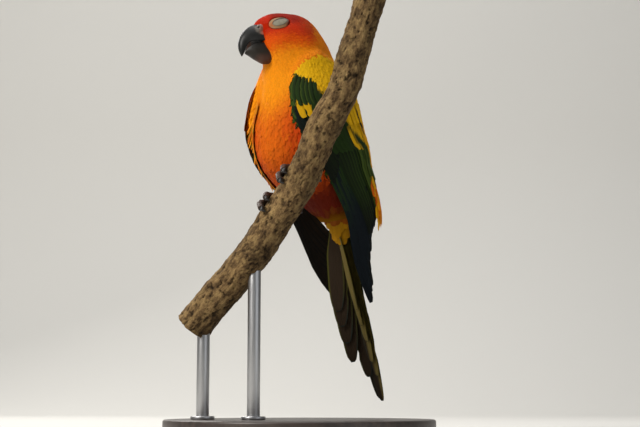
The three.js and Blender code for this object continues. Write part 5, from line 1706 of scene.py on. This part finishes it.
duties = {  # piece: nodes it replaces, slot, finishes
    "coat_head": (("head",), "plumage_head", ("small",)),
    "coat_neck": (("neck",), "plumage_neck", ("small",)),
    "coat_body": (("torso", "thigh_left", "thigh_right"), "plumage_body", ("small",)),
    "coat_shoulders": (("wing_left", "wing_right"), "plumage_wing", ("small",)),
    "wing_left_feathers": (("wing_left",), "plumage_wing", ("flight",)),
    "wing_right_feathers": (("wing_right",), "plumage_wing", ("flight",)),
    "side_tufts": (("wing_right",), "plumage_body", ("small",)),
    "rump_tufts": (("wing_left",), "plumage_body", ("small",)),
    "tail_feathers": (("tail",), "plumage_tail", ("flight",)),
    "tail_coverts": (("tail",), "plumage_tail", ("flight",)),
    "bill_upper_horn": (("bill_upper",), "bill_horn", ("horn",)),
    "bill_lower_horn": (("bill_lower",), "bill_horn", ("horn",)),
    "lids_left": (("eye_left",), "eyelid", ("lid",)),
    "lids_right": (("eye_right",), "eyelid", ("lid",)),
    "foot_left_skin": (("foot_left",), "foot_skin", ("foot",)),
    "foot_right_skin": (("foot_right",), "foot_skin", ("foot",)),
    "claws_left": (("foot_left",), "foot_skin", ("claw",)),
    "claws_right": (("foot_right",), "foot_skin", ("claw",)),
    "branch": (("perch_branch",), "bark", ("bark", "cut")),
    "base_disc": (("stand_base",), "stand_base", ("base",)),
    "rod_lower": (("stand_rod_lower",), "stand_rod", ("steel",)),
    "rod_upper": (("stand_rod_upper",), "stand_rod", ("steel",)),
    "rod_collars": (("stand_rod_lower", "stand_rod_upper"), "stand_rod", ("steel",)),
}
skin.data.materials.append(finishes["down"])
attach(skin, "root")
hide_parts(*fleshNodes)
for name, (nodes, slotName, keys) in duties.items():
    slots = pieces[name].data.materials
    for i, key in enumerate(keys):
        if i < len(slots):
            slots[i] = finishes[key]
        else:
            slots.append(finishes[key])
    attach(pieces[name], "root")
    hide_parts(*nodes)

# floor, light and camera

backdrop = {"floor": 1.2, "behind": 1.5, "rise": 0.8, "height": 1.8}


def sweep():
    nothingSelected()
    rows = [(-1.6, 0.0)] + [(0.3 + 0.06 * i, 0.0) for i in range(6)]
    turn = [(0.9 + 0.5 * math.sin(a), 0.5 - 0.5 * math.cos(a)) for a in np.linspace(0, math.pi / 2, 24)]
    rows = rows + turn[1:] + [(1.4, 2.2)]
    co = np.array([(x, y, z) for x in (-3.0, 3.0) for y, z in rows]) / mm
    n = len(rows)
    quads = np.array([(i, n + i, n + i + 1, i + 1) for i in range(n - 1)])
    return arrayMesh("studio_sweep", co, quads)


floor = sweep()
paper, surface = newMaterial("studio_paper")
setInputs(surface, {
    "Base Color": rgba("d6d4cf"), "Roughness": 0.95, "Specular IOR Level": 0.1})
floor.data.materials.append(paper)

aim = Vector((0.005, -0.01, 0.2))
lights = {  # place, width, watts, colour
    "key": ((-1.0, -0.8, 0.95), 0.6, 21.5, (1.0, 0.97, 0.92)),
    "fill": ((0.95, -0.8, 0.35), 1.0, 1.8, (0.93, 0.96, 1.0)),
    "top": ((0.05, -0.05, 1.3), 0.8, 5, (0.97, 0.98, 1.0)),
    "rim": ((-0.5, 0.75, 0.75), 0.5, 5, (1.0, 0.98, 0.95)),
    "backdrop": ((0.0, 0.5, 1.9), 1.6, 12, (1.0, 1.0, 1.0)),
}
for name, (place, width, watts, colour) in lights.items():
    lamp = bpy.data.lights.new(name, "AREA")
    lamp.shape = "DISK"
    lamp.size = width
    lamp.energy = watts
    lamp.color = colour
    obj = bpy.data.objects.new(name, lamp)
    scene.collection.objects.link(obj)
    obj.location = place
    target = aim if name != "backdrop" else Vector((0, 1.3, 0.5))
    obj.rotation_euler = (target - obj.location).to_track_quat("-Z", "Y").to_euler()

world = bpy.data.worlds.new("studio")
world.use_nodes = True
world.node_tree.nodes["Background"].inputs["Color"].default_value = rgba("dfe3e6")
world.node_tree.nodes["Background"].inputs["Strength"].default_value = 0.19
scene.world = world
scene.view_settings.view_transform = "Standard"

camera = bpy.data.objects.new("camera", bpy.data.cameras.new("camera"))
scene.collection.objects.link(camera)
camera.location = (0.0128, -0.7912, 0.02175)
camera.rotation_euler = (math.radians(98.5), 0, 0)
camera.data.sensor_width = 36
camera.data.lens = 70.31
camera.data.clip_start = 0.01
scene.camera = camera
